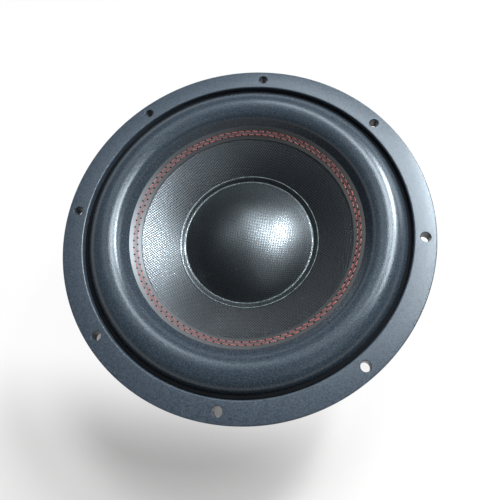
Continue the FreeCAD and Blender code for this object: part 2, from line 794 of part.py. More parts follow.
def make_terminal_base(name, side):
    """Back part of a block, hollowed to the cup and slotted for the contacts."""
    body = new_body(f"{name}_terminal_base")
    block = side_sketch(body, "base_block_outline", CUP_INNER)
    draw_centred_box(block, "0", TERMINAL_MIDDLE, "terminal_width", "terminal_height")
    extruded(body, "base_block", block, "cup_wall + terminal_base_depth")
    hollow = new_sketch(body, "base_hollow_outline", "XY_Plane", shift=[("z", TERMINAL_TOP)])
    draw_circle(hollow, "0", "0", "cup_radius")
    extruded(body, "base_hollow", hollow, "terminal_height", cut=True)
    slots = new_sketch(body, "contact_slot_outline", "XY_Plane", shift=[("z", TERMINAL_TOP)])
    left = f"{CONTACT_BACK} - contact_fit"
    right = f"{CONTACT_FRONT} + contact_fit"
    half = "(contact_width / 2 + contact_fit)"
    for place in contact_places():
        draw_outline(slots, box_corners(left, right, f"{place} - {half}", f"{place} + {half}"))
    extruded(body, "contact_slots", slots, "terminal_height - contact_tail", cut=True)
    wires = side_sketch(body, "wire_hole_outline", BASE_FACE)
    for place in contact_places():
        draw_circle(wires, place, f"{TERMINAL_BOTTOM} + wire_hole_level", "wire_hole_radius")
    extruded(body, "wire_holes", wires, f"{BASE_FACE} - {CONTACT_FRONT}", cut=True)
    screws = side_sketch(body, "base_screw_outline", BASE_FACE)
    for level in terminal_screw_levels():
        draw_circle(screws, "0", level, "terminal_screw_radius + screw_clearance")
    extruded(body, "base_screw_holes", screws, "2 * terminal_base_depth", cut=True)
    return half_turn(body, side)


def make_terminal_shell(name, side):
    """Front shell of a block with button wells, wire holes and screw holes."""
    body = new_body(f"{name}_terminal_shell")
    block = side_sketch(body, "shell_block_outline", BASE_FACE)
    draw_centred_box(block, "0", TERMINAL_MIDDLE, "terminal_width", "terminal_height")
    extruded(body, "shell_block", block, "terminal_shell_depth")
    wells = side_sketch(body, "well_outline", BASE_FACE)
    mouths = side_sketch(body, "mouth_outline", SHELL_FACE)
    wires = side_sketch(body, "shell_wire_outline", SHELL_FACE)
    skirt_width = "button_width + 2 * button_skirt + 2 * button_fit"
    skirt_height = "button_height + 2 * button_skirt + 2 * button_fit"
    for place in contact_places():
        draw_centred_box(wells, place, BUTTON_LEVEL, skirt_width, skirt_height)
        draw_centred_box(
            mouths, place, BUTTON_LEVEL, "button_width + 2 * button_fit", "button_height + 2 * button_fit"
        )
        draw_circle(wires, place, f"{TERMINAL_BOTTOM} + wire_hole_level", "wire_hole_radius")
    extruded(body, "wells", wells, "terminal_shell_depth - terminal_front_wall", cut=True, flip=True)
    extruded(body, "mouths", mouths, "terminal_shell_depth", cut=True)
    extruded(body, "shell_wire_holes", wires, "terminal_shell_depth", cut=True)
    screws = side_sketch(body, "shell_screw_outline", SHELL_FACE)
    for level in terminal_screw_levels():
        draw_circle(screws, "0", level, "terminal_screw_radius + screw_clearance")
    extruded(body, "shell_screw_holes", screws, "terminal_shell_depth", cut=True)
    return half_turn(body, side)


def make_contacts(name, side):
    """Two brass strips: behind the wire holes, and up to the leads' solder tags."""
    body = new_body(f"{name}_contacts")
    bottom = f"({TERMINAL_BOTTOM} + contact_tail)"
    strips = new_sketch(body, "strip_outline", "XY_Plane", shift=[("z", bottom)])
    for place in contact_places():
        low = f"{place} - contact_width / 2"
        draw_outline(strips, box_corners(CONTACT_BACK, CONTACT_FRONT, low, f"{place} + contact_width / 2"))
    extruded(body, "strips", strips, f"{TERMINAL_TOP} + tag_height - {bottom}")
    return half_turn(body, side)


def make_button(name, place, side):
    """Sprung push button with a skirt that stops it behind the shell's front wall."""
    body = new_body(name)
    skirt = side_sketch(body, "skirt_outline", SKIRT_BACK)
    draw_centred_box(
        skirt, place, BUTTON_LEVEL, "button_width + 2 * button_skirt", "button_height + 2 * button_skirt"
    )
    extruded(body, "skirt", skirt, "button_skirt_length")
    cap = side_sketch(body, "cap_outline", SKIRT_BACK)
    draw_centred_box(cap, place, BUTTON_LEVEL, "button_width", "button_height")
    extruded(body, "cap", cap, f"{SHELL_FACE} + button_proud - {SKIRT_BACK}")
    return half_turn(body, side)


def make_spring(name, place, side):
    """Coil spring between the block's base and a button."""
    body = new_body(name)
    shift = [("y", place), ("z", BUTTON_LEVEL)]
    sketch = new_sketch(body, "wire_outline", "XY_Plane", shift=shift)
    draw_circle(sketch, f"{BASE_FACE} + spring_wire + contact_fit", "spring_radius", "spring_wire")
    coil = body.newObject("PartDesign::AdditiveHelix", "coil")
    coil.Profile = sketch
    coil.ReferenceAxis = (sketch, ["H_Axis"])
    coil.Mode = "pitch-turns-angle"
    length = f"({SKIRT_BACK} - {BASE_FACE} - 2 * spring_wire - 2 * contact_fit)"
    coil.setExpression("Pitch", bound(f"{length} / spring_turns"))
    coil.setExpression("Turns", bound("spring_turns"))
    document.recompute()
    return half_turn(body, side)


def make_terminal_screws():
    """Two screws through each block into the cup's wall."""
    body = new_body("terminal_screws")
    shanks = side_sketch(body, "shank_outline", CUP_INNER)
    heads = side_sketch(body, "head_outline", SHELL_FACE)
    for level in terminal_screw_levels():
        draw_circle(shanks, "0", level, "terminal_screw_radius")
        draw_circle(heads, "0", level, "terminal_screw_head")
    shank = extruded(body, "shanks", shanks, f"{SHELL_FACE} - {CUP_INNER}")
    head = extruded(body, "heads", heads, "terminal_screw_head_height")
    repeated(body, "both_sides", [shank, head], "2")
    return body


def rounded_route(points):
    """Straight runs joined by tangent arcs, each as large as its two runs allow."""
    edges = []
    start = points[0]
    for number in range(1, len(points) - 1):
        corner = points[number]
        back = points[number - 1] - corner
        ahead = points[number + 1] - corner
        shorter = min(back.Length, ahead.Length)
        back.normalize()
        ahead.normalize()
        half_turn_angle = (math.pi - back.getAngle(ahead)) / 2
        radius = 0.45 * shorter / math.tan(half_turn_angle)
        arc_start = corner + back * 0.45 * shorter
        arc_end = corner + ahead * 0.45 * shorter
        inward = (back + ahead).normalize()
        centre = corner + inward * (radius / math.cos(half_turn_angle))
        middle = centre - inward * radius
        edges.append(Part.LineSegment(start, arc_start).toShape())
        edges.append(Part.Arc(arc_start, middle, arc_end).toShape())
        start = arc_end
    edges.append(Part.LineSegment(start, points[-1]).toShape())
    return Part.Wire(edges)


def make_leads(name, side):
    """Two braided leads from the solder tags, over the cup's rim, to the former."""
    tag = (value(CONTACT_BACK) + value(CONTACT_FRONT)) / 2
    tag_top = value(f"{TERMINAL_TOP} + tag_height")
    radius = value("lead_radius")
    former = value(FORMER_RADIUS)
    across = value("terminal_spacing")
    former_face = math.sqrt(former**2 - (across - radius) ** 2) + value("spider_clearance")
    landing = value(SPIDER_NECK) + 2 * radius
    rim = value("cup_radius")
    crest = FreeCAD.Vector(rim - value("lead_crest_reach"), 0, tag_top + value("lead_crest"))
    fall = FreeCAD.Vector(rim - value("lead_fall_reach"), 0, tag_top + value("lead_fall"))
    approach = FreeCAD.Vector(former + value("lead_approach"), 0, landing + value("lead_approach_rise"))
    solids = []
    for place in (-across, across):
        aside = FreeCAD.Vector(0, place, 0)
        route = [
            FreeCAD.Vector(tag, place, tag_top),
            FreeCAD.Vector(tag, place, tag_top + value("lead_rise")),
            crest + aside,
            fall + aside,
            approach + aside,
            FreeCAD.Vector(former_face, place, landing),
        ]
        path = rounded_route(route)
        section = Part.Wire([Part.makeCircle(radius, route[0], FreeCAD.Vector(0, 0, 1))])
        tube = path.makePipeShell([section], True, False)
        drift = tube.Volume / (math.pi * radius**2 * path.Length)
        if abs(drift - 1) > 0.01:
            raise RuntimeError(f"lead volume is off by {drift:.3f}")
        solids.append(tube)
    piece = document.addObject("Part::Feature", f"{name}_leads")
    piece.Shape = Part.makeCompound(solids)
    piece.Label = f"{name}_leads"
    return half_turn(piece, side)


def make_terminals():
    """Both terminal blocks with their contacts, buttons, springs and leads."""
    for name, side in (("right", 1), ("left", -1)):
        make_terminal_base(name, side)
        make_terminal_shell(name, side)
        make_contacts(name, side)
        make_leads(name, side)
        for colour, place in zip(("black", "red"), contact_places()):
            make_button(f"{name}_{colour}_button", place, side)
            make_spring(f"{name}_{colour}_spring", place, side)
    make_terminal_screws()


# ---------------------------------------------------------------- checks and files


def sub_parts():
    """The document's finished pieces."""
    return [item for item in document.Objects if item.TypeId in ("PartDesign::Body", "Part::Feature")]


def check_document():
    """Stop on a failed object, an empty or invalid shape, or a cut that removed nothing."""
    for item in document.Objects:
        if "Invalid" in item.State or "Error" in item.State:
            raise RuntimeError(f"{item.Name}: {item.State}")
        if item.TypeId in ("PartDesign::Pocket", "PartDesign::Groove"):
            if item.Shape.Volume > item.BaseFeature.Shape.Volume - 1e-3:
                raise RuntimeError(f"{item.Name} removes nothing")
    for piece in sub_parts():
        if piece.Shape.isNull() or not piece.Shape.isValid() or not piece.Shape.Solids:
            raise RuntimeError(f"{piece.Label} has no valid shape")


def write_files():
    """One STEP file for each piece, named after it."""
    os.makedirs("parts", exist_ok=True)
    for piece in sub_parts():
        piece.Shape.exportStep(os.path.join("parts", f"{piece.Label}.step"))
        size = piece.Shape.BoundBox
        print(
            f"{piece.Label}: {len(piece.Shape.Solids)} solid(s), {piece.Shape.Volume / 1000:.2f} cm3, "
            f"z {size.ZMin:.2f} to {size.ZMax:.2f}"
        )


make_basket_rim()
make_basket_spokes()
make_basket_cup()
make_floor_screws()
make_motor()
make_cone()
make_neck_bead()
make_dust_cap()
make_stitching()
make_voice_coil()
make_suspension()
make_terminals()
document.recompute()
check_document()
write_files()
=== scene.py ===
"""Twelve-inch car subwoofer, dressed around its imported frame.

Metres, +Z up.  The origin is on the speaker's axis in the plane of the rubber boot's underside, the
terminal blocks are at +X and -X, the spokes are on the diagonals.  Each sub-assembly is a class that
works out its surfaces as whole arrays and gives them their finishes.
"""
import logging
import math
from dataclasses import dataclass, field
from enum import Enum
from typing import Sequence

import bmesh
import bpy
import numpy as np
from mathutils import Euler, Matrix, Vector


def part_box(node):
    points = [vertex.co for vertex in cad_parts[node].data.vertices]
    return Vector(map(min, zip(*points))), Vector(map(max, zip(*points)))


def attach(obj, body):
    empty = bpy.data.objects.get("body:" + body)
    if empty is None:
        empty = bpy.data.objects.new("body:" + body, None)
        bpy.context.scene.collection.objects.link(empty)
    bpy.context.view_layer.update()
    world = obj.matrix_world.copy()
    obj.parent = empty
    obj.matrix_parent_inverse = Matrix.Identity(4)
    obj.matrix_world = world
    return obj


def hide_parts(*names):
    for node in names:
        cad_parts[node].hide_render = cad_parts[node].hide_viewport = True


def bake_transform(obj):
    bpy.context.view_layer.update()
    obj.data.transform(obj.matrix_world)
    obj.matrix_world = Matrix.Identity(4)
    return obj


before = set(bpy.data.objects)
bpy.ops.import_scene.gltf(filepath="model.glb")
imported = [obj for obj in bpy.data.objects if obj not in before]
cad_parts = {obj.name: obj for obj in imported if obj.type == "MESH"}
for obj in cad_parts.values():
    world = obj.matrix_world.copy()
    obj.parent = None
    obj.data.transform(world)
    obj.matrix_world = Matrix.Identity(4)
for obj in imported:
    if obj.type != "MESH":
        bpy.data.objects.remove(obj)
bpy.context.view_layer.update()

MM = 0.001
FULL_TURN = 2 * math.pi
SMOOTH_ANGLE = 34.0
SHARP_ANGLE = 50.0
Colour = tuple[float, float, float]
Socket = bpy.types.NodeSocket

logging.basicConfig(level=logging.INFO, format="%(message)s")
log = logging.getLogger("subwoofer")


class Body(Enum):
    """The bodies that pieces ride on."""

    FRAME = "frame_and_motor"
    CONE = "cone_assembly"


class Side(Enum):
    """Where a terminal block stands: on +X or on -X."""

    RIGHT = 1
    LEFT = -1


class Pole(Enum):
    """The two poles of a terminal block, with their place across it."""

    BLACK = -1
    RED = 1


# ---------------------------------------------------------------- surfaces as arrays


@dataclass
class Surface:
    """Quads as plain arrays.

    points is (n, 3) in metres, faces is (m, 4) indices that run anticlockwise seen from outside,
    chart is (n, 2) flat coordinates in metres, tags is (m,) finish numbers.
    """

    points: np.ndarray
    faces: np.ndarray
    chart: np.ndarray
    tags: np.ndarray

    @classmethod
    def from_grid(cls, grid: np.ndarray, chart: np.ndarray, tags: np.ndarray | int = 0) -> "Surface":
        """Quads between the neighbours of a grid of points.

        Args:
            grid: (rows, columns, 3) points; the outside is on the side of column step x row step.
            chart: (rows, columns, 2) flat coordinates.
            tags: one finish number, or one for each row of quads.

        Returns:
            The surface.
        """
        rows, columns = grid.shape[:2]
        index = np.arange(rows * columns).reshape(rows, columns)
        quads = np.stack([index[:-1, :-1], index[:-1, 1:], index[1:, 1:], index[1:, :-1]], axis=-1)
        numbers = np.broadcast_to(np.reshape(tags, (-1, 1)), (rows - 1, columns - 1))
        return cls(grid.reshape(-1, 3), quads.reshape(-1, 4), chart.reshape(-1, 2), numbers.reshape(-1))

    def copies(self, matrices: np.ndarray) -> "Surface":
        """The surface repeated under several transforms.

        Args:
            matrices: (k, 4, 4) transforms.

        Returns:
            One surface with k copies.
        """
        count, size = len(matrices), len(self.points)
        flat = np.concatenate([self.points, np.ones((size, 1))], axis=1)
        moved = np.einsum("kij,nj->kni", matrices, flat)[..., :3]
        steps = (np.arange(count) * size)[:, None, None]
        faces = (self.faces[None] + steps).reshape(-1, 4)
        chart, tags = np.tile(self.chart, (count, 1)), np.tile(self.tags, count)
        return Surface(moved.reshape(-1, 3), faces, chart, tags)

    def around_axis(self, count: int, first: float = 0.0) -> "Surface":
        """Copies turned evenly about the Z axis, the first by an angle in radians."""
        return self.copies(turns_about_z(first + np.arange(count) * FULL_TURN / count))


def joined(surfaces: Sequence[Surface]) -> Surface:
    """Several surfaces as one.

    Args:
        surfaces: the surfaces.

    Returns:
        One surface; indices of each are shifted past the points of those before it.
    """
    shifts = np.cumsum([0] + [len(surface.points) for surface in surfaces[:-1]])
    return Surface(
        np.concatenate([surface.points for surface in surfaces]),
        np.concatenate([surface.faces + shift for surface, shift in zip(surfaces, shifts)]),
        np.concatenate([surface.chart for surface in surfaces]),
        np.concatenate([surface.tags for surface in surfaces]),
    )


def turns_about_z(angles: np.ndarray) -> np.ndarray:
    """Matrices that turn about the Z axis.

    Args:
        angles: (k,) angles in radians.

    Returns:
        (k, 4, 4) matrices.
    """
    matrices = np.tile(np.eye(4), (len(angles), 1, 1))
    matrices[:, 0, 0] = matrices[:, 1, 1] = np.cos(angles)
    matrices[:, 1, 0] = np.sin(angles)
    matrices[:, 0, 1] = -np.sin(angles)
    return matrices


def polar(radius: np.ndarray | float, angle: np.ndarray, height: np.ndarray | float) -> np.ndarray:
    """Points (r cos a, r sin a, z) about the Z axis; the three are spread to one shape."""
    return np.stack(np.broadcast_arrays(radius * np.cos(angle), radius * np.sin(angle), height), axis=-1)


def run_length(path: np.ndarray) -> np.ndarray:
    """Distance along a path: the running sum of the steps between its points."""
    steps = np.linalg.norm(np.diff(path, axis=0), axis=-1)
    return np.concatenate([[0.0], np.cumsum(steps)])


def rounded(corners: Sequence[tuple[float, float, float]], steps: int = 4, closed: bool = True) -> np.ndarray:
    """An outline whose corners are arcs.

    An arc of radius r fits a corner with half angle h where it leaves the edges at r / tan(h) from the
    corner, at most 0.48 of the shorter edge; its points swing evenly about a centre on the bisector.

    Args:
        corners: (across, up, radius) in millimetres, anticlockwise.
        steps: pieces of each arc.
        closed: whether the last corner joins the first.

    Returns:
        (n, 2) points in metres; a closed outline repeats its first point at the end.
    """
    table = np.asarray(corners, float) * MM
    here = table[:, :2]
    back, ahead = np.roll(here, 1, axis=0) - here, np.roll(here, -1, axis=0) - here
    back_length, ahead_length = (np.linalg.norm(way, axis=1) for way in (back, ahead))
    back, ahead = back / back_length[:, None], ahead / ahead_length[:, None]
    half = np.arccos(np.clip((back * ahead).sum(1), -1, 1)) / 2
    cut = np.minimum(table[:, 2] / np.tan(half), 0.48 * np.minimum(back_length, ahead_length))
    radius = cut * np.tan(half)
    bisector = back + ahead
    bisector /= np.maximum(np.linalg.norm(bisector, axis=1), 1e-9)[:, None]
    centre = here + bisector * (radius / np.sin(half))[:, None]
    start, finish = here + back * cut[:, None] - centre, here + ahead * cut[:, None] - centre
    swing = np.maximum(math.pi - 2 * half, 1e-6)[:, None, None]
    share = np.linspace(0, 1, steps + 1)[None, :, None]
    arcs = np.sin((1 - share) * swing) * start[:, None] + np.sin(share * swing) * finish[:, None]
    points = (centre[:, None] + arcs / np.sin(swing)).reshape(-1, 2)
    if not closed:
        points = points[steps : len(points) - steps]
    kept = np.concatenate([[True], np.linalg.norm(np.diff(points, axis=0), axis=1) > 1e-8])
    points = points[kept]
    return np.vstack([points, points[:1]]) if closed else points


def rectangle(half_width: float, half_height: float, corner: float, steps: int) -> np.ndarray:
    """A rounded rectangle about the origin, as rounded() gives it; sizes in millimetres."""
    signs = ((-1, -1), (1, -1), (1, 1), (-1, 1))
    return rounded([(across * half_width, up * half_height, corner) for across, up in signs], steps)


def arc(start: Sequence[float], finish: Sequence[float], sagitta: float, count: int) -> np.ndarray:
    """Points of a circular arc over a chord.

    The radius is (chord squared / 4 + sagitta squared) / (2 sagitta); points are evenly spaced in
    angle about the centre, which lies on the chord's middle normal.

    Args:
        start: first point, any unit.
        finish: last point.
        sagitta: height of the arc to the left of the way from start to finish; negative for right.
        count: number of points.

    Returns:
        (count, 2) points in the same unit.
    """
    first, last = np.asarray(start, float), np.asarray(finish, float)
    chord = last - first
    length = np.linalg.norm(chord)
    left = np.array([-chord[1], chord[0]]) / length
    radius = (length**2 / 4 + sagitta**2) / (2 * abs(sagitta))
    side = np.sign(sagitta)
    centre = (first + last) / 2 + left * side * (abs(sagitta) - radius)
    half = math.asin(min(1.0, length / 2 / radius))
    half = math.pi - half if abs(sagitta) > length / 2 else half
    swing = np.linspace(-half, half, count)[:, None]
    return centre + radius * (np.sin(swing) * chord / length + np.cos(swing) * left * side)


def turned(outline: np.ndarray, segments: int = 256, tags: np.ndarray | int = 0) -> Surface:
    """A surface of revolution about the Z axis.

    Point (i, j) is (r_i cos a_j, r_i sin a_j, z_i); its chart is (a_j times the mean radius, length
    along the outline).  An anticlockwise outline in (r, z) faces outwards.

    Args:
        outline: (n, 2) radius and height; it repeats its first point where it is closed.
        segments: steps of a full turn.
        tags: a finish number, or one for each step of the outline.

    Returns:
        The surface.
    """
    angles = np.linspace(0, FULL_TURN, segments + 1)
    radius, height = outline[:, 0:1], outline[:, 1:2]
    grid = polar(radius, angles, height)
    around = angles * float(radius.mean()) + 0 * radius
    chart = np.stack([around, run_length(outline)[:, None] + 0 * angles], axis=-1)
    return Surface.from_grid(grid, chart, tags)


def tube(
    path: np.ndarray, radius: np.ndarray | float, sides: int = 8, up: Sequence[float] = (0, 0, 1)
) -> Surface:
    """A round tube along a path, closed at both ends.

    Point (i, j) is path_i + radius_i (side_i cos a_j + top_i sin a_j), where side_i is square to the
    path's direction and to up, and top_i is square to both; the ends are drawn in to the path.

    Args:
        path: (n, 3) points.
        radius: one radius, or one for each point.
        sides: steps around the tube.
        up: a direction the path doesn't follow.

    Returns:
        The surface; its chart is (length along the path, length around the tube).
    """
    along = np.gradient(path, axis=0)
    along /= np.linalg.norm(along, axis=1)[:, None]
    side = np.cross(along, np.asarray(up, float))
    side /= np.linalg.norm(side, axis=1)[:, None]
    top = np.cross(side, along)
    radii = np.broadcast_to(radius, (len(path),)).astype(float)
    ends = [0, *range(len(path)), len(path) - 1]
    path, side, top, radii = path[ends], side[ends], top[ends], radii[ends].copy()
    radii[[0, -1]] = 0
    angles = np.linspace(0, FULL_TURN, sides + 1)
    ring = side[:, None] * np.cos(angles)[None, :, None] - top[:, None] * np.sin(angles)[None, :, None]
    grid = path[:, None] + radii[:, None, None] * ring
    length = run_length(path)[:, None] + 0 * angles
    chart = np.stack([length, 0 * length + angles * float(radii.max())], axis=-1)
    return Surface.from_grid(grid, chart)


# ---------------------------------------------------------------- objects


def welded(points: np.ndarray) -> tuple[np.ndarray, np.ndarray]:
    """Points without doubles; points that round to the same 0.1 micrometre are one.

    Args:
        points: (n, 3) points in metres.

    Returns:
        The (k, 3) points that stay, and (n,) the place of each old point among them.
    """
    keys = np.round(points / 1e-7).astype(np.int64)
    _, first, back = np.unique(keys, axis=0, return_index=True, return_inverse=True)
    return points[first], back.reshape(-1)


def mesh_from(name: str, surface: Surface) -> bpy.types.Mesh:
    """A mesh with seams and poles closed.

    Points that fall together are merged; a quad with two equal corners becomes a triangle, and one
    with fewer than three different corners is dropped.  The chart becomes the UV map.

    Args:
        name: the mesh's name.
        surface: its arrays.

    Returns:
        The mesh.
    """
    points, back = welded(surface.points)
    quads = back[surface.faces]
    kept = quads != np.roll(quads, -1, axis=1)
    sizes = kept.sum(1)
    good = sizes > 2
    kept &= good[:, None]
    mesh = bpy.data.meshes.new(name)
    mesh.vertices.add(len(points))
    mesh.vertices.foreach_set("co", points.astype(np.float32).reshape(-1))
    corners = quads[kept]
    mesh.loops.add(len(corners))
    mesh.loops.foreach_set("vertex_index", corners.astype(np.int32))
    starts = np.concatenate([[0], np.cumsum(sizes[good])[:-1]])
    mesh.polygons.add(len(starts))
    mesh.polygons.foreach_set("loop_start", starts.astype(np.int32))
    mesh.polygons.foreach_set("material_index", surface.tags[good].astype(np.int32))
    chart = mesh.uv_layers.new(name="chart")
    chart.data.foreach_set("uv", surface.chart[surface.faces[kept]].astype(np.float32).reshape(-1))
    mesh.update(calc_edges=True)
    mesh.validate()
    return mesh


def smooth(mesh: bpy.types.Mesh, angle: float = SMOOTH_ANGLE) -> None:
    """Shade a mesh smooth, with sharp edges where faces meet at more than an angle in degrees."""
    mesh.shade_smooth()
    mesh.set_sharp_from_angle(angle=math.radians(angle))


def new_piece(name: str, surface: Surface, angle: float = SMOOTH_ANGLE) -> bpy.types.Object:
    """An object in the scene made from a surface, at the origin.

    Args:
        name: its name, and its mesh's.
        surface: the surface.
        angle: degrees between faces beyond which an edge is sharp.

    Returns:
        The object.
    """
    piece = bpy.data.objects.new(name, mesh_from(name, surface))
    bpy.context.scene.collection.objects.link(piece)
    smooth(piece.data, angle)
    return piece


def apply_modifiers(piece: bpy.types.Object) -> None:
    """Replace an object's mesh by what its modifiers make of it.

    Args:
        piece: the object.
    """
    graph = bpy.context.evaluated_depsgraph_get()
    mesh = bpy.data.meshes.new_from_object(piece.evaluated_get(graph), depsgraph=graph)
    piece.modifiers.clear()
    piece.data = mesh


def carve(piece: bpy.types.Object, cutters: Surface) -> None:
    """Cut a set of closed surfaces out of a piece.

    Args:
        piece: the object to cut.
        cutters: closed surfaces that don't touch each other.
    """
    tool = new_piece(f"{piece.name}_cutter", cutters)
    modifier = piece.modifiers.new("cut", "BOOLEAN")
    modifier.operation, modifier.solver, modifier.object = "DIFFERENCE", "EXACT", tool
    apply_modifiers(piece)
    bpy.data.objects.remove(tool)
    piece.data.materials.clear()
    smooth(piece.data)


def heights(node: str) -> tuple[float, float]:
    """A CAD node's lowest and highest height in millimetres."""
    low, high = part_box(node)
    return low[2] / MM, high[2] / MM


def wear(piece: bpy.types.Object, nodes: Sequence[str], finishes: Sequence["Finish"]) -> None:
    """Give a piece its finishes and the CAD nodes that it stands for.

    Args:
        piece: the object.
        nodes: CAD nodes that it replaces.
        finishes: one for each tag of its surface.
    """
    for finish in finishes:
        piece.data.materials.append(finish.material())
    if nodes:
        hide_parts(*nodes)
    log.info("%s: %d faces", piece.name, len(piece.data.polygons))


def place(
    piece: bpy.types.Object, body: Body | str, nodes: Sequence[str], finishes: Sequence["Finish"], slot: str
) -> None:
    """Dress a finished piece and let it ride on one body.

    Args:
        piece: the object.
        body: the body that it rides on.
        nodes: CAD nodes that it replaces.
        finishes: one for each tag of its surface.
        slot: name of its material slot; not used.
    """
    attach(piece, body.value if isinstance(body, Body) else body)
    wear(piece, nodes, finishes)


def stretch(
    piece: bpy.types.Object,
    node: str,
    finishes: Sequence["Finish"],
) -> None:
    """Dress a finished piece with its transform applied to its mesh; it rides on no body.

    Args:
        piece: the object.
        node: the CAD node that it replaces.
        finishes: one for each tag of its surface.
    """
    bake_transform(piece)
    wear(piece, [node], finishes)


def point_array(mesh: bpy.types.Mesh) -> np.ndarray:
    """A mesh's points as an array.

    Args:
        mesh: the mesh.

    Returns:
        (n, 3) points in metres.
    """
    flat = np.empty(len(mesh.vertices) * 3, np.float32)
    mesh.vertices.foreach_get("co", flat)
    return flat.reshape(-1, 3).astype(float)


def eased(share: np.ndarray) -> np.ndarray:
    """The share s held between 0 and 1 and eased at both ends: s s (3 - 2 s)."""
    share = np.clip(share, 0, 1)
    return share * share * (3 - 2 * share)


def radial_follow(piece: bpy.types.Object, still: float, moving: float) -> np.ndarray:
    """How far each point of a ring-shaped piece follows, by its distance from the axis.

    Args:
        piece: the object.
        still: radius in metres that stays where it is.
        moving: radius in metres that follows fully.

    Returns:
        (n,) eased shares.
    """
    points = point_array(piece.data)
    return eased((np.hypot(points[:, 0], points[:, 1]) - still) / (moving - still))


def dress_node(node: str, finish: "Finish") -> None:
    """Give a CAD node's object a finish in every slot.

    Args:
        node: the CAD node.
        finish: the finish.
    """
    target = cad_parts[node]
    if not target.material_slots:
        target.data.materials.append(finish.material())
    for holder in target.material_slots:
        holder.material = finish.material()
    log.info("%s: finish %s", node, finish.name)


def softened_copy(node: str, name: str, width: float, segments: int = 2) -> bpy.types.Object:
    """A merged copy of a flat-sided CAD node with its edges rounded.

    Args:
        node: the CAD node.
        name: the copy's name.
        width: width of the rounding in metres; 0 keeps the edges as they are.
        segments: steps of the rounding.

    Returns:
        The new object.
    """
    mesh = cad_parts[node].data.copy()
    mesh.name = name
    work = bmesh.new()
    work.from_mesh(mesh)
    bmesh.ops.remove_doubles(work, verts=work.verts, dist=1e-6)
    bmesh.ops.dissolve_limit(work, angle_limit=math.radians(1.0), verts=work.verts, edges=work.edges)
    if width:
        limit = math.radians(SHARP_ANGLE)
        inner = (edge for edge in work.edges if len(edge.link_faces) == 2)
        sharp = [edge for edge in inner if edge.calc_face_angle(0.0) > limit]
        bmesh.ops.bevel(
            work, geom=sharp, offset=width, segments=segments, profile=0.5, affect="EDGES", clamp_overlap=True
        )
    bmesh.ops.triangulate(work, faces=[face for face in work.faces if len(face.verts) > 4])
    work.to_mesh(mesh)
    work.free()
    mesh.materials.clear()
    piece = bpy.data.objects.new(name, mesh)
    bpy.context.scene.collection.objects.link(piece)
    smooth(mesh)
    return piece


# ---------------------------------------------------------------- material nodes


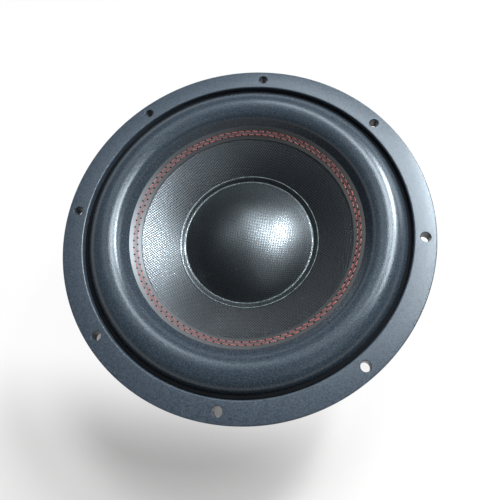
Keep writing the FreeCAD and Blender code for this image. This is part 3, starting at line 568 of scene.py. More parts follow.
@dataclass
class NodeSheet:
    """One material's node tree; each method adds nodes and returns an output socket."""

    tree: bpy.types.NodeTree

    def put(self, socket: Socket, value: object) -> None:
        """Link an output to a socket, or set the socket's own value.

        Args:
            socket: the input.
            value: an output socket or a plain value.
        """
        if isinstance(value, Socket):
            self.tree.links.new(value, socket)
        else:
            socket.default_value = value

    def add(self, kind: str, inputs: dict[str | int, object], **settings: object) -> bpy.types.Node:
        """A node with settings and inputs.

        Args:
            kind: the node's type without "ShaderNode".
            inputs: values or sockets by input name or number.
            **settings: the node's own properties.

        Returns:
            The node.
        """
        node = self.tree.nodes.new(f"ShaderNode{kind}")
        for key, setting in settings.items():
            setattr(node, key, setting)
        for key, value in inputs.items():
            self.put(node.inputs[key], value)
        return node

    def where(self, turn: float = 0.0, size: float = 1.0) -> Socket:
        """Object coordinates, turned and scaled.

        Args:
            turn: turn about Z in degrees.
            size: the length in metres that becomes 1.

        Returns:
            The coordinates.
        """
        found = self.add("TexCoord", {})
        scale = (1 / size,) * 3
        rotation = (0, 0, math.radians(turn))
        inputs = {"Vector": found.outputs["Object"], "Rotation": rotation, "Scale": scale}
        return self.add("Mapping", inputs).outputs["Vector"]

    def chart(self) -> Socket:
        """The piece's own flat coordinates, in metres."""
        return self.add("UVMap", {}, uv_map="chart").outputs["UV"]

    def parts(self, vector: Socket) -> list[Socket]:
        """The three numbers of a vector."""
        return list(self.add("SeparateXYZ", {"Vector": vector}).outputs)

    def work(self, operation: str, *values: object) -> Socket:
        """One step of arithmetic."""
        return self.add("Math", dict(enumerate(values)), operation=operation).outputs["Value"]

    def product(self, first: object, second: object) -> Socket:
        """One value times another."""
        return self.work("MULTIPLY", first, second)

    def noise(self, vector: Socket, detail: float = 2.0) -> Socket:
        """Soft noise between 0 and 1."""
        inputs = {"Vector": vector, "Scale": 1.0, "Detail": detail, "Roughness": 0.55}
        return self.add("TexNoise", inputs).outputs["Fac"]

    def ramp(
        self, value: Socket, low: float, high: float, to_low: float = 0.0, to_high: float = 1.0
    ) -> Socket:
        """A value taken smoothly from one range to another, and held at its ends.

        Args:
            value: the value.
            low: start of its range.
            high: end of its range.
            to_low: result at the start.
            to_high: result at the end.

        Returns:
            The result.
        """
        inputs = {"Value": value, "From Min": low, "From Max": high, "To Min": to_low, "To Max": to_high}
        node = self.add("MapRange", inputs, interpolation_type="SMOOTHSTEP", clamp=True)
        return node.outputs["Result"]

    def mix(self, factor: object, first: object, second: object) -> Socket:
        """A colour between two colours; colours are sockets or (red, green, blue).

        Args:
            factor: share of the second colour.
            first: the first colour.
            second: the second colour.

        Returns:
            The colour.
        """
        node = self.add("Mix", {}, data_type="RGBA")
        self.put(node.inputs[0], factor)
        for socket, value in ((node.inputs[6], first), (node.inputs[7], second)):
            self.put(socket, (*value, 1.0) if isinstance(value, tuple) else value)
        return node.outputs[2]

    def dusted(
        self, colour: Socket, share: float, spacing: float, fade: tuple[float, float], dust: Colour
    ) -> Socket:
        """A colour with specks at the middles of some of the cells of a scattered grid.

        Args:
            colour: the colour below.
            share: share of the cells that hold a speck; 0 leaves the colour as it is.
            spacing: size of a cell in metres.
            fade: where a speck starts to fade and where it ends, in cells from its middle.
            dust: the specks' colour.

        Returns:
            The colour.
        """
        if not share:
            return colour
        spots = self.add("TexVoronoi", {"Vector": self.where(size=spacing), "Scale": 1.0})
        chance = self.parts(spots.outputs["Color"])[0]
        near = self.ramp(spots.outputs["Distance"], *fade, 1.0, 0.0)
        return self.mix(self.product(near, self.work("LESS_THAN", chance, share)), colour, dust)

    def bump(self, height: Socket, depth: float) -> Socket:
        """A normal from a height between 0 and 1 that stands for a depth in metres."""
        return self.add("Bump", {"Height": height, "Distance": depth, "Strength": 1.0}).outputs["Normal"]

    def shade(
        self, colour: Socket, roughness: object, normal: Socket, metallic: object = 0.0, **constants: float
    ) -> None:
        """End the material in its shader; constants are set on the shader's own sockets.

        Args:
            colour: base colour.
            roughness: a socket or a number.
            normal: a bump's output.
            metallic: a socket or a number.
            **constants: other sockets by name, with spaces as underscores.
        """
        shader = next(node for node in self.tree.nodes if node.type == "BSDF_PRINCIPLED")
        linked = {"Base Color": colour, "Roughness": roughness, "Metallic": metallic, "Normal": normal}
        for key, value in linked.items():
            self.put(shader.inputs[key], value)
        for key, value in constants.items():
            shader.inputs[key.replace("_", " ")].default_value = value


@dataclass(frozen=True)
class Finish:
    """A named material, built once."""

    name: str

    def material(self) -> bpy.types.Material:
        """The finish's material, made on the first call.

        Returns:
            The material.
        """
        found = bpy.data.materials.get(self.name)
        if found is None:
            found = bpy.data.materials.new(self.name)
            found.use_nodes = True
            self.dress(NodeSheet(found.node_tree))
        return found

    def dress(self, sheet: NodeSheet) -> None:
        """Fill in the node tree on the sheet."""
        raise NotImplementedError


@dataclass(frozen=True)
class Grained(Finish):
    """A coated, moulded, cast or foamed surface: soft clouds of two colours, fine grain and pale dust."""

    colour: Colour
    second: Colour
    roughness: tuple[float, float]
    grain: float = 0.5 * MM
    depth: float = 0.02 * MM
    cloud: float = 25 * MM
    dust: float = 0.0
    metallic: float = 0.0
    specular: float = 0.5
    index: float = 1.5

    def dress(self, sheet: NodeSheet) -> None:
        """Clouds and grain set the colour and the gloss; grain at two sizes sets the bump.

        Args:
            sheet: the material's nodes.
        """
        fine = sheet.noise(sheet.where(size=self.grain), detail=3.0)
        coarse = sheet.noise(sheet.where(size=3.1 * self.grain), detail=2.0)
        clouds = sheet.noise(sheet.where(size=self.cloud), detail=3.0)
        cloud_share = sheet.ramp(clouds, 0.3, 0.7, 0.0, 0.6)
        blend = sheet.work("ADD", cloud_share, sheet.ramp(fine, 0.35, 0.65, 0.0, 0.4))
        colour = sheet.mix(blend, self.colour, self.second)
        colour = sheet.dusted(colour, self.dust, 4 * MM, (0.03, 0.07), (0.5, 0.52, 0.55))
        roughness = sheet.ramp(sheet.work("ADD", clouds, fine), 0.7, 1.3, *self.roughness)
        height = sheet.work("ADD", sheet.product(fine, 0.6), sheet.product(coarse, 0.4))
        sheet.shade(
            colour,
            roughness,
            sheet.bump(height, self.depth),
            metallic=self.metallic,
            Specular_IOR_Level=self.specular,
            IOR=self.index,
        )


@dataclass(frozen=True)
class LatheCut(Finish):
    """Turned metal: fine rings about the speaker's axis, with clouds of oxide."""

    colour: Colour
    second: Colour
    roughness: tuple[float, float]
    pitch: float = 0.35 * MM

    def dress(self, sheet: NodeSheet) -> None:
        """Rings are a sine of the distance from the axis plus the height, shaken a little by noise.

        Args:
            sheet: the material's nodes.
        """
        across, along, up = sheet.parts(sheet.where())
        squares = sheet.work("ADD", sheet.work("POWER", across, 2.0), sheet.work("POWER", along, 2.0))
        radius = sheet.work("SQRT", squares)
        clouds = sheet.noise(sheet.where(size=14 * MM), detail=4.0)
        way = sheet.work("ADD", radius, up)
        shaken = sheet.work("MULTIPLY_ADD", clouds, 0.6, sheet.product(way, FULL_TURN / self.pitch))
        rings = sheet.work("MULTIPLY_ADD", sheet.work("SINE", shaken), 0.5, 0.5)
        colour = sheet.mix(sheet.ramp(clouds, 0.35, 0.7), self.colour, self.second)
        uneven = sheet.work("ADD", clouds, sheet.product(rings, 0.3))
        sheet.shade(
            colour, sheet.ramp(uneven, 0.4, 1.0, *self.roughness), sheet.bump(rings, 0.004 * MM), metallic=1.0
        )


@dataclass(frozen=True)
class Woven(Finish):
    """Plain-woven cloth whose yarns run straight across the piece, seen along its axis."""

    warp: Colour
    weft: Colour
    gap: Colour
    pitch: float
    depth: float
    roughness: tuple[float, float]
    turn: float = 0.0
    specular: float = 0.5
    dust: float = 0.0
    warp_painted_glint: float = 0.0

    def dress(self, sheet: NodeSheet) -> None:
        """Each yarn's section falls from its crown; which yarn is on top follows the cell's number.

        The cell (i, j) shows the warp where i + j is even.  The crown is 1 - |place across|^2.2, and
        the yarn on top also swells along its own length.

        Args:
            sheet: the material's nodes.
        """
        across, along, _ = sheet.parts(sheet.where(turn=self.turn, size=self.pitch))
        wander = sheet.noise(sheet.where(size=9 * MM), detail=1.0)
        across = sheet.work("MULTIPLY_ADD", wander, 0.35, across)
        along = sheet.work("MULTIPLY_ADD", wander, -0.35, along)
        cell = sheet.work("ADD", sheet.work("FLOOR", across), sheet.work("FLOOR", along))
        warp_on_top = sheet.work("LESS_THAN", sheet.work("FLOORED_MODULO", cell, 2.0), 0.501)
        crowns = []
        for way in (across, along):
            centred = sheet.work("MULTIPLY_ADD", sheet.work("FRACT", way), 2.0, -1.0)
            fall = sheet.work("POWER", sheet.work("ABSOLUTE", centred), 2.2)
            crowns.append(sheet.work("SUBTRACT", 1.0, fall))
        warp_height, weft_height = (
            sheet.product(own, sheet.work("MULTIPLY_ADD", other, 0.45, 0.55))
            for own, other in (crowns, crowns[::-1])
        )
        weft_part = sheet.product(sheet.work("SUBTRACT", 1.0, warp_on_top), weft_height)
        height = sheet.work("ADD", sheet.product(warp_on_top, warp_height), weft_part)
        fibre = sheet.noise(sheet.where(size=0.25 * MM), detail=2.0)
        # painted glint: the warp takes a lighter colour than the weft, and the metallic shine below, as if
        # only the warp caught the light
        yarn = sheet.mix(warp_on_top, self.weft, self.warp)
        yarn = sheet.mix(sheet.ramp(fibre, 0.3, 0.8, 0.0, 0.35), yarn, self.gap)
        # painted shade: the colour falls to the gap colour where the yarns dip between each other
        colour = sheet.mix(sheet.ramp(height, 0.05, 0.5), self.gap, yarn)
        colour = sheet.dusted(colour, self.dust, 3 * MM, (0.04, 0.1), (0.4, 0.42, 0.42))
        shine: Socket | float = 0.0
        if self.warp_painted_glint:
            shine = sheet.product(sheet.product(warp_on_top, sheet.ramp(height, 0.1, 0.55)), self.warp_painted_glint)
        sheet.shade(
            colour,
            sheet.ramp(height, 0.1, 0.9, self.roughness[1], self.roughness[0]),
            sheet.bump(sheet.work("MULTIPLY_ADD", fibre, 0.15, height), self.depth),
            metallic=shine,
            Specular_IOR_Level=self.specular,
        )


@dataclass(frozen=True)
class Twisted(Finish):
    """Thread or braid: strands that wind around the piece's own length."""

    colour: Colour
    groove_shade_and_fibre: Colour
    roughness: float
    lay: float
    girth: float
    depth: float
    crossed: bool = False
    metallic: float = 0.0
    sheen: float = 0.3
    specular: float = 0.5

    def dress(self, sheet: NodeSheet) -> None:
        """Strands are a sine of length / lay plus angle; a braid takes the higher of two such waves.

        Args:
            sheet: the material's nodes.
        """
        length, around, _ = sheet.parts(sheet.chart())
        run = sheet.product(length, FULL_TURN / self.lay)
        angle = sheet.product(around, FULL_TURN / self.girth)
        waves = [sheet.work("SINE", sheet.work("ADD", run, angle))]
        if self.crossed:
            waves.append(sheet.work("SINE", sheet.work("SUBTRACT", run, angle)))
        top = waves[0] if len(waves) == 1 else sheet.work("MAXIMUM", *waves)
        height = sheet.work("MULTIPLY_ADD", top, 0.5, 0.5)
        fibre = sheet.noise(sheet.where(size=0.2 * MM), detail=2.0)
        # painted highlight and shade: the strands' crowns take the thread's colour and the grooves between
        # them the darker groove colour; the fibre flecks below take that colour too
        colour = sheet.mix(sheet.ramp(height, 0.05, 0.6), self.groove_shade_and_fibre, self.colour)
        colour = sheet.mix(sheet.ramp(fibre, 0.5, 0.9, 0.0, 0.35), colour, self.groove_shade_and_fibre)
        bump = sheet.bump(sheet.work("MULTIPLY_ADD", fibre, 0.2, height), self.depth)
        constants = {"Sheen_Weight": self.sheen, "Specular_IOR_Level": self.specular}
        sheet.shade(colour, self.roughness, bump, metallic=self.metallic, **constants)


@dataclass(frozen=True)
class WireLayer(Finish):
    """Enamelled round wire wound in level turns one above the other."""

    colour: Colour
    second: Colour
    wire: float

    def dress(self, sheet: NodeSheet) -> None:
        """Each turn's section is the root of one minus the square of the place across the wire.

        Args:
            sheet: the material's nodes.
        """
        _, _, up = sheet.parts(sheet.where(size=self.wire))
        centred = sheet.work("MULTIPLY_ADD", sheet.work("FRACT", up), 2.0, -1.0)
        square = sheet.work("POWER", sheet.work("ABSOLUTE", centred), 2.0)
        height = sheet.work("SQRT", sheet.work("SUBTRACT", 1.0, square))
        clouds = sheet.noise(sheet.where(size=6 * MM), detail=3.0)
        # painted shade: each turn darkens to the second colour towards the crevices between turns
        colour = sheet.mix(sheet.ramp(height, 0.1, 0.7), self.second, self.colour)
        colour = sheet.mix(sheet.ramp(clouds, 0.5, 0.8, 0.0, 0.4), colour, self.second)
        roughness = sheet.ramp(clouds, 0.3, 0.7, 0.22, 0.38)
        sheet.shade(colour, roughness, sheet.bump(height, 0.4 * self.wire), metallic=1.0)


FRAME_COAT = Grained(
    "frame_powder_coat", (0.018, 0.023, 0.029), (0.056, 0.067, 0.083), (0.3, 0.38),
    grain=0.9 * MM, depth=0.06 * MM, cloud=1.3 * MM, dust=0.01, specular=0.46,
)
ROLL_FOAM = Grained(
    "roll_satin_foam", (0.013, 0.017, 0.021), (0.043, 0.054, 0.067), (0.22, 0.28),
    grain=0.9 * MM, depth=0.05 * MM, cloud=1.2 * MM, dust=0.05, specular=0.42,
)
BAND_FOAM = Grained(
    "band_smooth_foam", (0.007, 0.007, 0.0075), (0.010, 0.010, 0.0105), (0.36, 0.42),
    grain=0.7 * MM, depth=0.006 * MM, specular=0.7, index=2.1,
)
CONE_CLOTH = Woven(
    "cone_glass_cloth", (0.15, 0.155, 0.16), (0.006, 0.0075, 0.0095), (0.0015, 0.002, 0.0025),
    pitch=1.24 * MM, depth=0.08 * MM, roughness=(0.26, 0.5), turn=16.0, specular=0.3, dust=0.12,
    warp_painted_glint=1.0,
)
CAP_CLOTH = Woven(
    "cap_fine_cloth", (0.165, 0.17, 0.172), (0.004, 0.0065, 0.0085), (0.0015, 0.0025, 0.003),
    pitch=1.05 * MM, depth=0.05 * MM, roughness=(0.24, 0.45), turn=-35.0, dust=0.03, warp_painted_glint=1.0,
)
# Pale flecks on the cap's two edge lines: a painted highlight on the fold at the dome's foot, and frayed
# fibres at the lip's edge.
FOLD_HIGHLIGHT_AND_FRAY = Grained(
    "cap_fold_highlight_and_fray", (0.012, 0.017, 0.018), (0.34, 0.38, 0.37), (0.5, 0.7),
    grain=0.9 * MM, depth=0.1 * MM, cloud=2 * MM,
)
RED_THREAD = Twisted(
    "red_thread", (0.80, 0.10, 0.055), (0.14, 0.008, 0.006), 0.4,
    lay=1.5 * MM, girth=FULL_TURN * 0.3 * MM, depth=0.12 * MM, specular=1.0,
)
UNDER_THREAD = Twisted(
    "under_thread", (0.10, 0.010, 0.008), (0.03, 0.003, 0.003), 0.36,
    lay=1.3 * MM, girth=FULL_TURN * 0.17 * MM, depth=0.1 * MM, specular=1.0,
)
SPIDER_CLOTH = Woven(
    "spider_resin_cotton", (0.38, 0.23, 0.10), (0.33, 0.19, 0.08), (0.10, 0.05, 0.02),
    pitch=0.9 * MM, depth=0.2 * MM, roughness=(0.5, 0.7), turn=12.0,
)
SPACER = Grained("spider_spacer_plastic", (0.02, 0.02, 0.022), (0.03, 0.03, 0.032), (0.45, 0.6))
# Near-black matte finish: painted shade, in the groove at the surround's outer edge and in the needle holes.
PAINTED_SHADE_BLACK = Grained(
    "painted_shade_matte_black", (0.003, 0.003, 0.0035), (0.006, 0.006, 0.007), (0.8, 0.95),
    grain=0.8 * MM, depth=0.1 * MM, specular=0.1,
)
GLUE = Grained(
    "cured_black_glue", (0.01, 0.01, 0.012), (0.016, 0.016, 0.018), (0.2, 0.35), grain=2 * MM, depth=0.2 * MM
)
BOOT_RUBBER = Grained(
    "boot_moulded_rubber", (0.014, 0.014, 0.016), (0.024, 0.024, 0.026), (0.5, 0.68),
    grain=0.6 * MM, depth=0.04 * MM, dust=0.03, specular=0.4,
)
STEEL = LatheCut("plate_black_oxide", (0.05, 0.05, 0.055), (0.09, 0.09, 0.095), (0.32, 0.5))
FERRITE = Grained(
    "magnet_ground_ferrite", (0.035, 0.035, 0.04), (0.055, 0.055, 0.06), (0.42, 0.6),
    grain=0.4 * MM, metallic=0.3,
)
COPPER = LatheCut("pole_copper", (0.72, 0.30, 0.16), (0.5, 0.19, 0.1), (0.22, 0.4))
ALUMINIUM = LatheCut("ring_aluminium", (0.72, 0.72, 0.74), (0.6, 0.6, 0.62), (0.25, 0.4))
FORMER_METAL = LatheCut(
    "former_anodised", (0.10, 0.10, 0.11), (0.06, 0.06, 0.065), (0.3, 0.45), pitch=1.1 * MM
)
WIRE = WireLayer("winding_copper_wire", (0.62, 0.24, 0.09), (0.22, 0.07, 0.03), 0.8 * MM)
SCREEN_STEEL = Grained(
    "screen_black_steel", (0.02, 0.02, 0.022), (0.035, 0.035, 0.038), (0.35, 0.5), metallic=0.4
)
SCREW_STEEL = Grained(
    "screw_black_zinc", (0.03, 0.03, 0.034), (0.06, 0.058, 0.062), (0.25, 0.4),
    grain=0.4 * MM, depth=0.01 * MM, metallic=0.9,
)
TERMINAL_PLASTIC = Grained(
    "terminal_textured_plastic", (0.014, 0.014, 0.015), (0.022, 0.022, 0.024), (0.42, 0.55),
    grain=0.35 * MM, depth=0.03 * MM,
)
BUTTON_RED = Grained(
    "button_red_plastic", (0.50, 0.012, 0.010), (0.42, 0.010, 0.008), (0.22, 0.34), depth=0.006 * MM
)
BUTTON_BLACK = Grained(
    "button_black_plastic", (0.012, 0.012, 0.013), (0.02, 0.02, 0.021), (0.22, 0.34), depth=0.006 * MM
)
BRASS = Grained(
    "contact_gold_flash", (0.80, 0.56, 0.22), (0.66, 0.42, 0.15), (0.2, 0.34),
    grain=0.6 * MM, depth=0.006 * MM, metallic=1.0,
)
SPRING_STEEL = Grained(
    "spring_bright_steel", (0.62, 0.62, 0.63), (0.5, 0.5, 0.51), (0.18, 0.3),
    grain=0.3 * MM, depth=0.004 * MM, metallic=1.0,
)
LEAD_BRAID = Twisted(
    "lead_tinned_braid", (0.66, 0.50, 0.38), (0.16, 0.09, 0.05), 0.34,
    lay=2.2 * MM, girth=FULL_TURN * 1.0 * MM, depth=0.2 * MM, crossed=True, metallic=1.0, sheen=0.0,
)


# ---------------------------------------------------------------- sub-assemblies


@dataclass
class BasketRim:
    """Flange with eight bolt holes, rounded inner edge, surround seat and spigot; sizes in millimetres."""

    flange_radius: float = 158.0
    flange_thickness: float = 12.0
    spigot_radius: float = 140.2
    spigot_wall: float = 4.0
    bore_radius: float = 140.0
    seat_radius: float = 132.4
    seat_depth: float = 6.0
    seat_thickness: float = 4.0
    edge_rounding: float = 1.3
    bolt_radius: float = 149.0
    bolt_hole: float = 4.0
    bolts: int = 8
    bottom: float = field(init=False)
    flange_top: float = field(init=False)

    def __post_init__(self) -> None:
        """Heights come from the CAD node."""
        self.bottom, self.flange_top = heights("basket_rim")

    def outline(self) -> np.ndarray:
        """Rounded section through the rim, anticlockwise.

        Returns:
            The outline in metres.
        """
        top, seat = self.flange_top, self.flange_top - self.seat_depth
        rear = top - self.flange_thickness
        inner = self.spigot_radius - self.spigot_wall
        return rounded(
            [
                (self.seat_radius, seat - self.seat_thickness, 0.8),
                (inner, seat - self.seat_thickness, 1.2),
                (inner, self.bottom, 0.6),
                (self.spigot_radius, self.bottom, 0.6),
                (self.spigot_radius, rear, 0.5),
                (self.flange_radius, rear, 0.7),
                (self.flange_radius, top, 0.9),
                (self.bore_radius, top, self.edge_rounding),
                (self.bore_radius, seat, 0.5),
                (self.seat_radius, seat, 0.8),
            ],
            steps=6,
        )

    def holes(self) -> Surface:
        """Cutters for the bolt holes: round bars that widen at both faces.

        Returns:
            The bars.
        """
        top, rear = self.flange_top, self.flange_top - self.flange_thickness
        flare, rise = 0.45, 2.0
        outline = np.array(
            [
                (0, rear - rise),
                (self.bolt_hole + flare + rise, rear - rise),
                (self.bolt_hole, rear + flare),
                (self.bolt_hole, top - flare),
                (self.bolt_hole + flare + rise, top + rise),
                (0, top + rise),
            ]
        )
        bar = turned(outline * MM, 40)
        bar.points[:, 0] += self.bolt_radius * MM
        return bar.around_axis(self.bolts, math.pi / self.bolts)

    def build(self) -> None:
        """Turn the rim, drill it and place it."""
        piece = new_piece("rim_casting", turned(self.outline(), 320))
        carve(piece, self.holes())
        place(piece, Body.FRAME, ["basket_rim"], [FRAME_COAT], "frame_coat")


@dataclass
class BasketSpokes:
    """Four sloping spokes, each a plate with a rib outside; sizes in millimetres."""

    cup_radius: float = 92.0
    end_radius: float = 139.2
    top_inner: float = 136.2
    plate_thickness: float = 6.0
    rib_depth: float = 5.0
    foot: float = 14.0
    plate_angle: float = 24.0
    rib_angle: float = 7.0
    overlap: float = 2.0
    top_overlap: float = 0.6
    count: int = 4
    stations: int = 28

    def spoke(self) -> Surface:
        """One spoke: a ribbed section carried from the cup to the spigot, closed at both ends.

        Station t runs from the cup to the spigot.  Three lines, the plate's inner face, its outer face
        and the rib's crest, are straight in (radius, height); a section's corner with place p across and
        depth d lies at angle p from the spoke's middle, on the way from the first line through the
        second to the third.

        Returns:
            The spoke, on the +X side.
        """
        low, high = heights("basket_spokes")
        share = np.linspace(0, 1, self.stations)[:, None]
        root, plate_end = self.cup_radius - self.overlap, high - self.plate_thickness

        def line(start: tuple[float, float], finish: tuple[float, float]) -> np.ndarray:
            """Points on a straight line at every station."""
            return np.array(start) * (1 - share) + np.array(finish) * share

        inner = line((root, low + self.rib_depth + self.foot), (self.top_inner, high + self.top_overlap))
        outer = line((root, low + self.rib_depth), (self.end_radius, plate_end))
        crest = line((root, low), (self.end_radius, plate_end - self.rib_depth))
        half, rib = self.plate_angle / 2, self.rib_angle / 2
        section = rounded(
            [(-half, 0, 1.2), (half, 0, 1.2), (half, 1, 1.2), (rib, 1, 0.8), (rib, 2, 0.8), (-rib, 2, 0.8),
             (-rib, 1, 0.8), (-half, 1, 1.2)],
            steps=4,
        ) / MM
        place_across = np.radians(section[:, 0])[:, None]
        depth = section[:, 1][:, None]
        first = np.clip(depth, 0, 1)[..., None]
        second = np.clip(depth - 1, 0, 1)[..., None]
        way = inner[None] * (1 - first) + (outer[None] * (1 - second) + crest[None] * second) * first
        middle = way.mean(axis=0, keepdims=True)
        ends = np.concatenate([middle[:, :1] + 0 * way[:, :1], way, middle[:, -1:] + 0 * way[:, -1:]], axis=1)
        across = np.broadcast_to(place_across, way.shape[:2])
        angle = np.concatenate([0 * place_across, across, 0 * place_across], axis=1)
        grid = polar(ends[..., 0], angle, ends[..., 1]) * MM
        chart = grid[..., 1:]
        return Surface.from_grid(grid[::-1], chart[::-1])

    def build(self) -> None:
        """Make one spoke, repeat it on the diagonals and place them."""
        piece = new_piece("spoke_castings", self.spoke().around_axis(self.count, math.pi / self.count), 50)
        place(piece, Body.FRAME, ["basket_spokes"], [FRAME_COAT], "frame_coat")


@dataclass
class BasketCup:
    """Cup on the motor with vent slots and the spider's ledge; sizes in millimetres."""

    radius: float = 92.0
    wall: float = 4.0
    floor: float = 5.0
    floor_opening: float = 56.0
    ledge_width: float = 9.0
    ledge_height: float = 23.0
    ledge_thickness: float = 3.0
    slots: int = 8
    slot_angle: float = 10.0
    slot_height: float = 8.0
    slot_corner: float = 2.0

    def outline(self, low: float, high: float) -> np.ndarray:
        """Rounded section through the cup, anticlockwise.

        Args:
            low: height of the underside.
            high: height of the rim.

        Returns:
            The outline in metres.
        """
        inner, ledge = self.radius - self.wall, low + self.ledge_height
        lip = inner - self.ledge_width
        return rounded(
            [
                (self.floor_opening, low, 0.6),
                (self.radius, low, 0.8),
                (self.radius, high, 1.2),
                (inner, high, 1.0),
                (inner, ledge, 0.4),
                (lip, ledge, 0.6),
                (lip, ledge - self.ledge_thickness, 0.6),
                (inner, ledge - self.ledge_thickness, 1.2),
                (inner, low + self.floor, 1.5),
                (self.floor_opening, low + self.floor, 1.0),
            ],
            steps=4,
        )

    def slot_cutters(self, middle: float) -> Surface:
        """Rounded bars through the wall, one for each slot.

        The section is a rounded rectangle in (angle, height), carried outwards along the radius and
        drawn to its middle at both ends.

        Args:
            middle: height of the slots' middles.

        Returns:
            The bars.
        """
        width = self.slot_angle / 2 / math.degrees(1 / self.radius)
        section = rectangle(width, self.slot_height / 2, self.slot_corner, 5)
        inner, outer = self.radius - 2 * self.wall, self.radius + self.wall
        reach = np.array([inner, inner, outer, outer]) * MM
        swell = np.array([0.0, 1.0, 1.0, 0.0])
        angle = section[:, 0:1] / (self.radius * MM) * swell
        grid = polar(reach + 0 * angle, angle, middle * MM + section[:, 1:2] * swell)
        bar = Surface.from_grid(grid[::-1], grid[::-1, :, 1:])
        return bar.around_axis(self.slots, math.pi / self.slots)

    def build(self) -> None:
        """Turn the cup, cut its slots and place it."""
        low, high = heights("basket_cup")
        piece = new_piece("cup_casting", turned(self.outline(low, high), 256))
        middle = (low + self.floor + low + self.ledge_height - self.ledge_thickness) / 2
        carve(piece, self.slot_cutters(middle))
        place(piece, Body.FRAME, ["basket_cup"], [FRAME_COAT], "frame_coat")


@dataclass
class ConeSet:
    """Cone, dust cap and adhesive bead; sizes in millimetres.

    The cone's front is a straight line from the former to the edge.  Its cloth is on both sides.
    """

    edge_radius: float = 101.5
    neck_radius: float = 38.5
    thickness: float = 1.5
    cap_radius: float = 58.6
    cap_rise: float = 17.0
    cap_thickness: float = 0.9
    cap_lip: float = 4.9
    neck_height: float = field(init=False)
    edge_height: float = field(init=False)

    def __post_init__(self) -> None:
        """The cone's two heights come from the CAD node."""
        low, self.edge_height = heights("cone")
        self.neck_height = low + self.thickness

    def top(self, radius: float | np.ndarray) -> float | np.ndarray:
        """Height of the cone's front at a radius."""
        slope = (self.edge_height - self.neck_height) / (self.edge_radius - self.neck_radius)
        return self.edge_height - (self.edge_radius - radius) * slope

    def cone(self) -> Surface:
        """The cone with rounded rims: a sloping strip turned about the axis.

        Returns:
            The cone.
        """
        corners = [
            (self.neck_radius, self.neck_height - self.thickness, 0.2),
            (self.edge_radius, self.edge_height - self.thickness, 0.3),
            (self.edge_radius, self.edge_height, 0.4),
            (self.neck_radius, self.neck_height, 0.2),
        ]
        return turned(rounded(corners, steps=3), 256)

    def cap(self) -> Surface:
        """The domed cap: a spherical dome, a groove at its foot and a lip along the cone.

        Returns:
            The cap.
        """
        count = 40
        radius = (self.cap_radius**2 + self.cap_rise**2) / (2 * self.cap_rise)
        swing = np.linspace(math.asin(self.cap_radius / radius), 0, count)
        centre = self.top(self.cap_radius) + self.cap_thickness + self.cap_rise - radius
        dome = np.stack([radius * np.sin(swing), centre + radius * np.cos(swing)], axis=1)
        hollow = radius - self.cap_thickness
        inside_edge = self.cap_radius - 1
        swing = np.linspace(math.asin(inside_edge / hollow), 0, count)
        inside = np.stack([hollow * np.sin(swing), centre + hollow * np.cos(swing)], axis=1)
        lip, foot = self.cap_radius + self.cap_lip, self.cap_radius + 0.9
        stations = ((foot, 0.45), (foot + 1.2, 0.35), (foot + 2.0, 0.8), (lip - 0.4, 0.95), (lip, 0.7),
                    (lip, 0.02), (inside_edge, 0.02))
        edge = [(across, self.top(across) + above) for across, above in stations]
        outline = np.concatenate([dome[::-1], edge, inside[1:]])
        return turned(outline[::-1] * MM, 192)

    def cap_edges(self) -> Surface:
        """Two thin pale lines: a painted highlight along the fold at the dome's foot, and frayed fibres
        around the lip's edge.

        Each is a ring of small radius whose thickness wavers with a sum of sines of the angle.

        Returns:
            Both lines.
        """
        rings = []
        lip = self.cap_radius + self.cap_lip - 0.1
        for radius, above, size, steps in ((self.cap_radius + 0.3, 1.0, 0.24, 360), (lip, 0.75, 0.27, 400)):
            angles = np.linspace(0, FULL_TURN, steps + 1)
            waver = 1 + 0.25 * np.sin(61 * angles + 1.3 * np.sin(17 * angles)) + 0.2 * np.sin(143 * angles)
            around = np.linspace(0, FULL_TURN, 7)
            r = radius + size * waver[None] * np.cos(around)[:, None]
            z = self.top(radius) + above + size * waver[None] * np.sin(around)[:, None]
            chart = np.stack([0 * r + angles * radius * MM, 0 * r + around[:, None] * size * MM], axis=-1)
            rings.append(Surface.from_grid(polar(r, angles, z) * MM, chart))
        return joined(rings)

    def build(self) -> None:
        """Place the cone, the cap and its two pale edge lines; the bead keeps its CAD shape."""
        place(new_piece("cone_shell", self.cone()), Body.CONE, ["cone"], [CONE_CLOTH], "cone_cloth")
        place(new_piece("cap_dome", self.cap(), 50), Body.CONE, ["dust_cap"], [CAP_CLOTH], "cap_cloth")
        place(new_piece("cap_fold_highlight_and_fray_lines", self.cap_edges(), 180), Body.CONE, [], [FOLD_HIGHLIGHT_AND_FRAY], "cap_cloth")
        dress_node("neck_bead", GLUE)


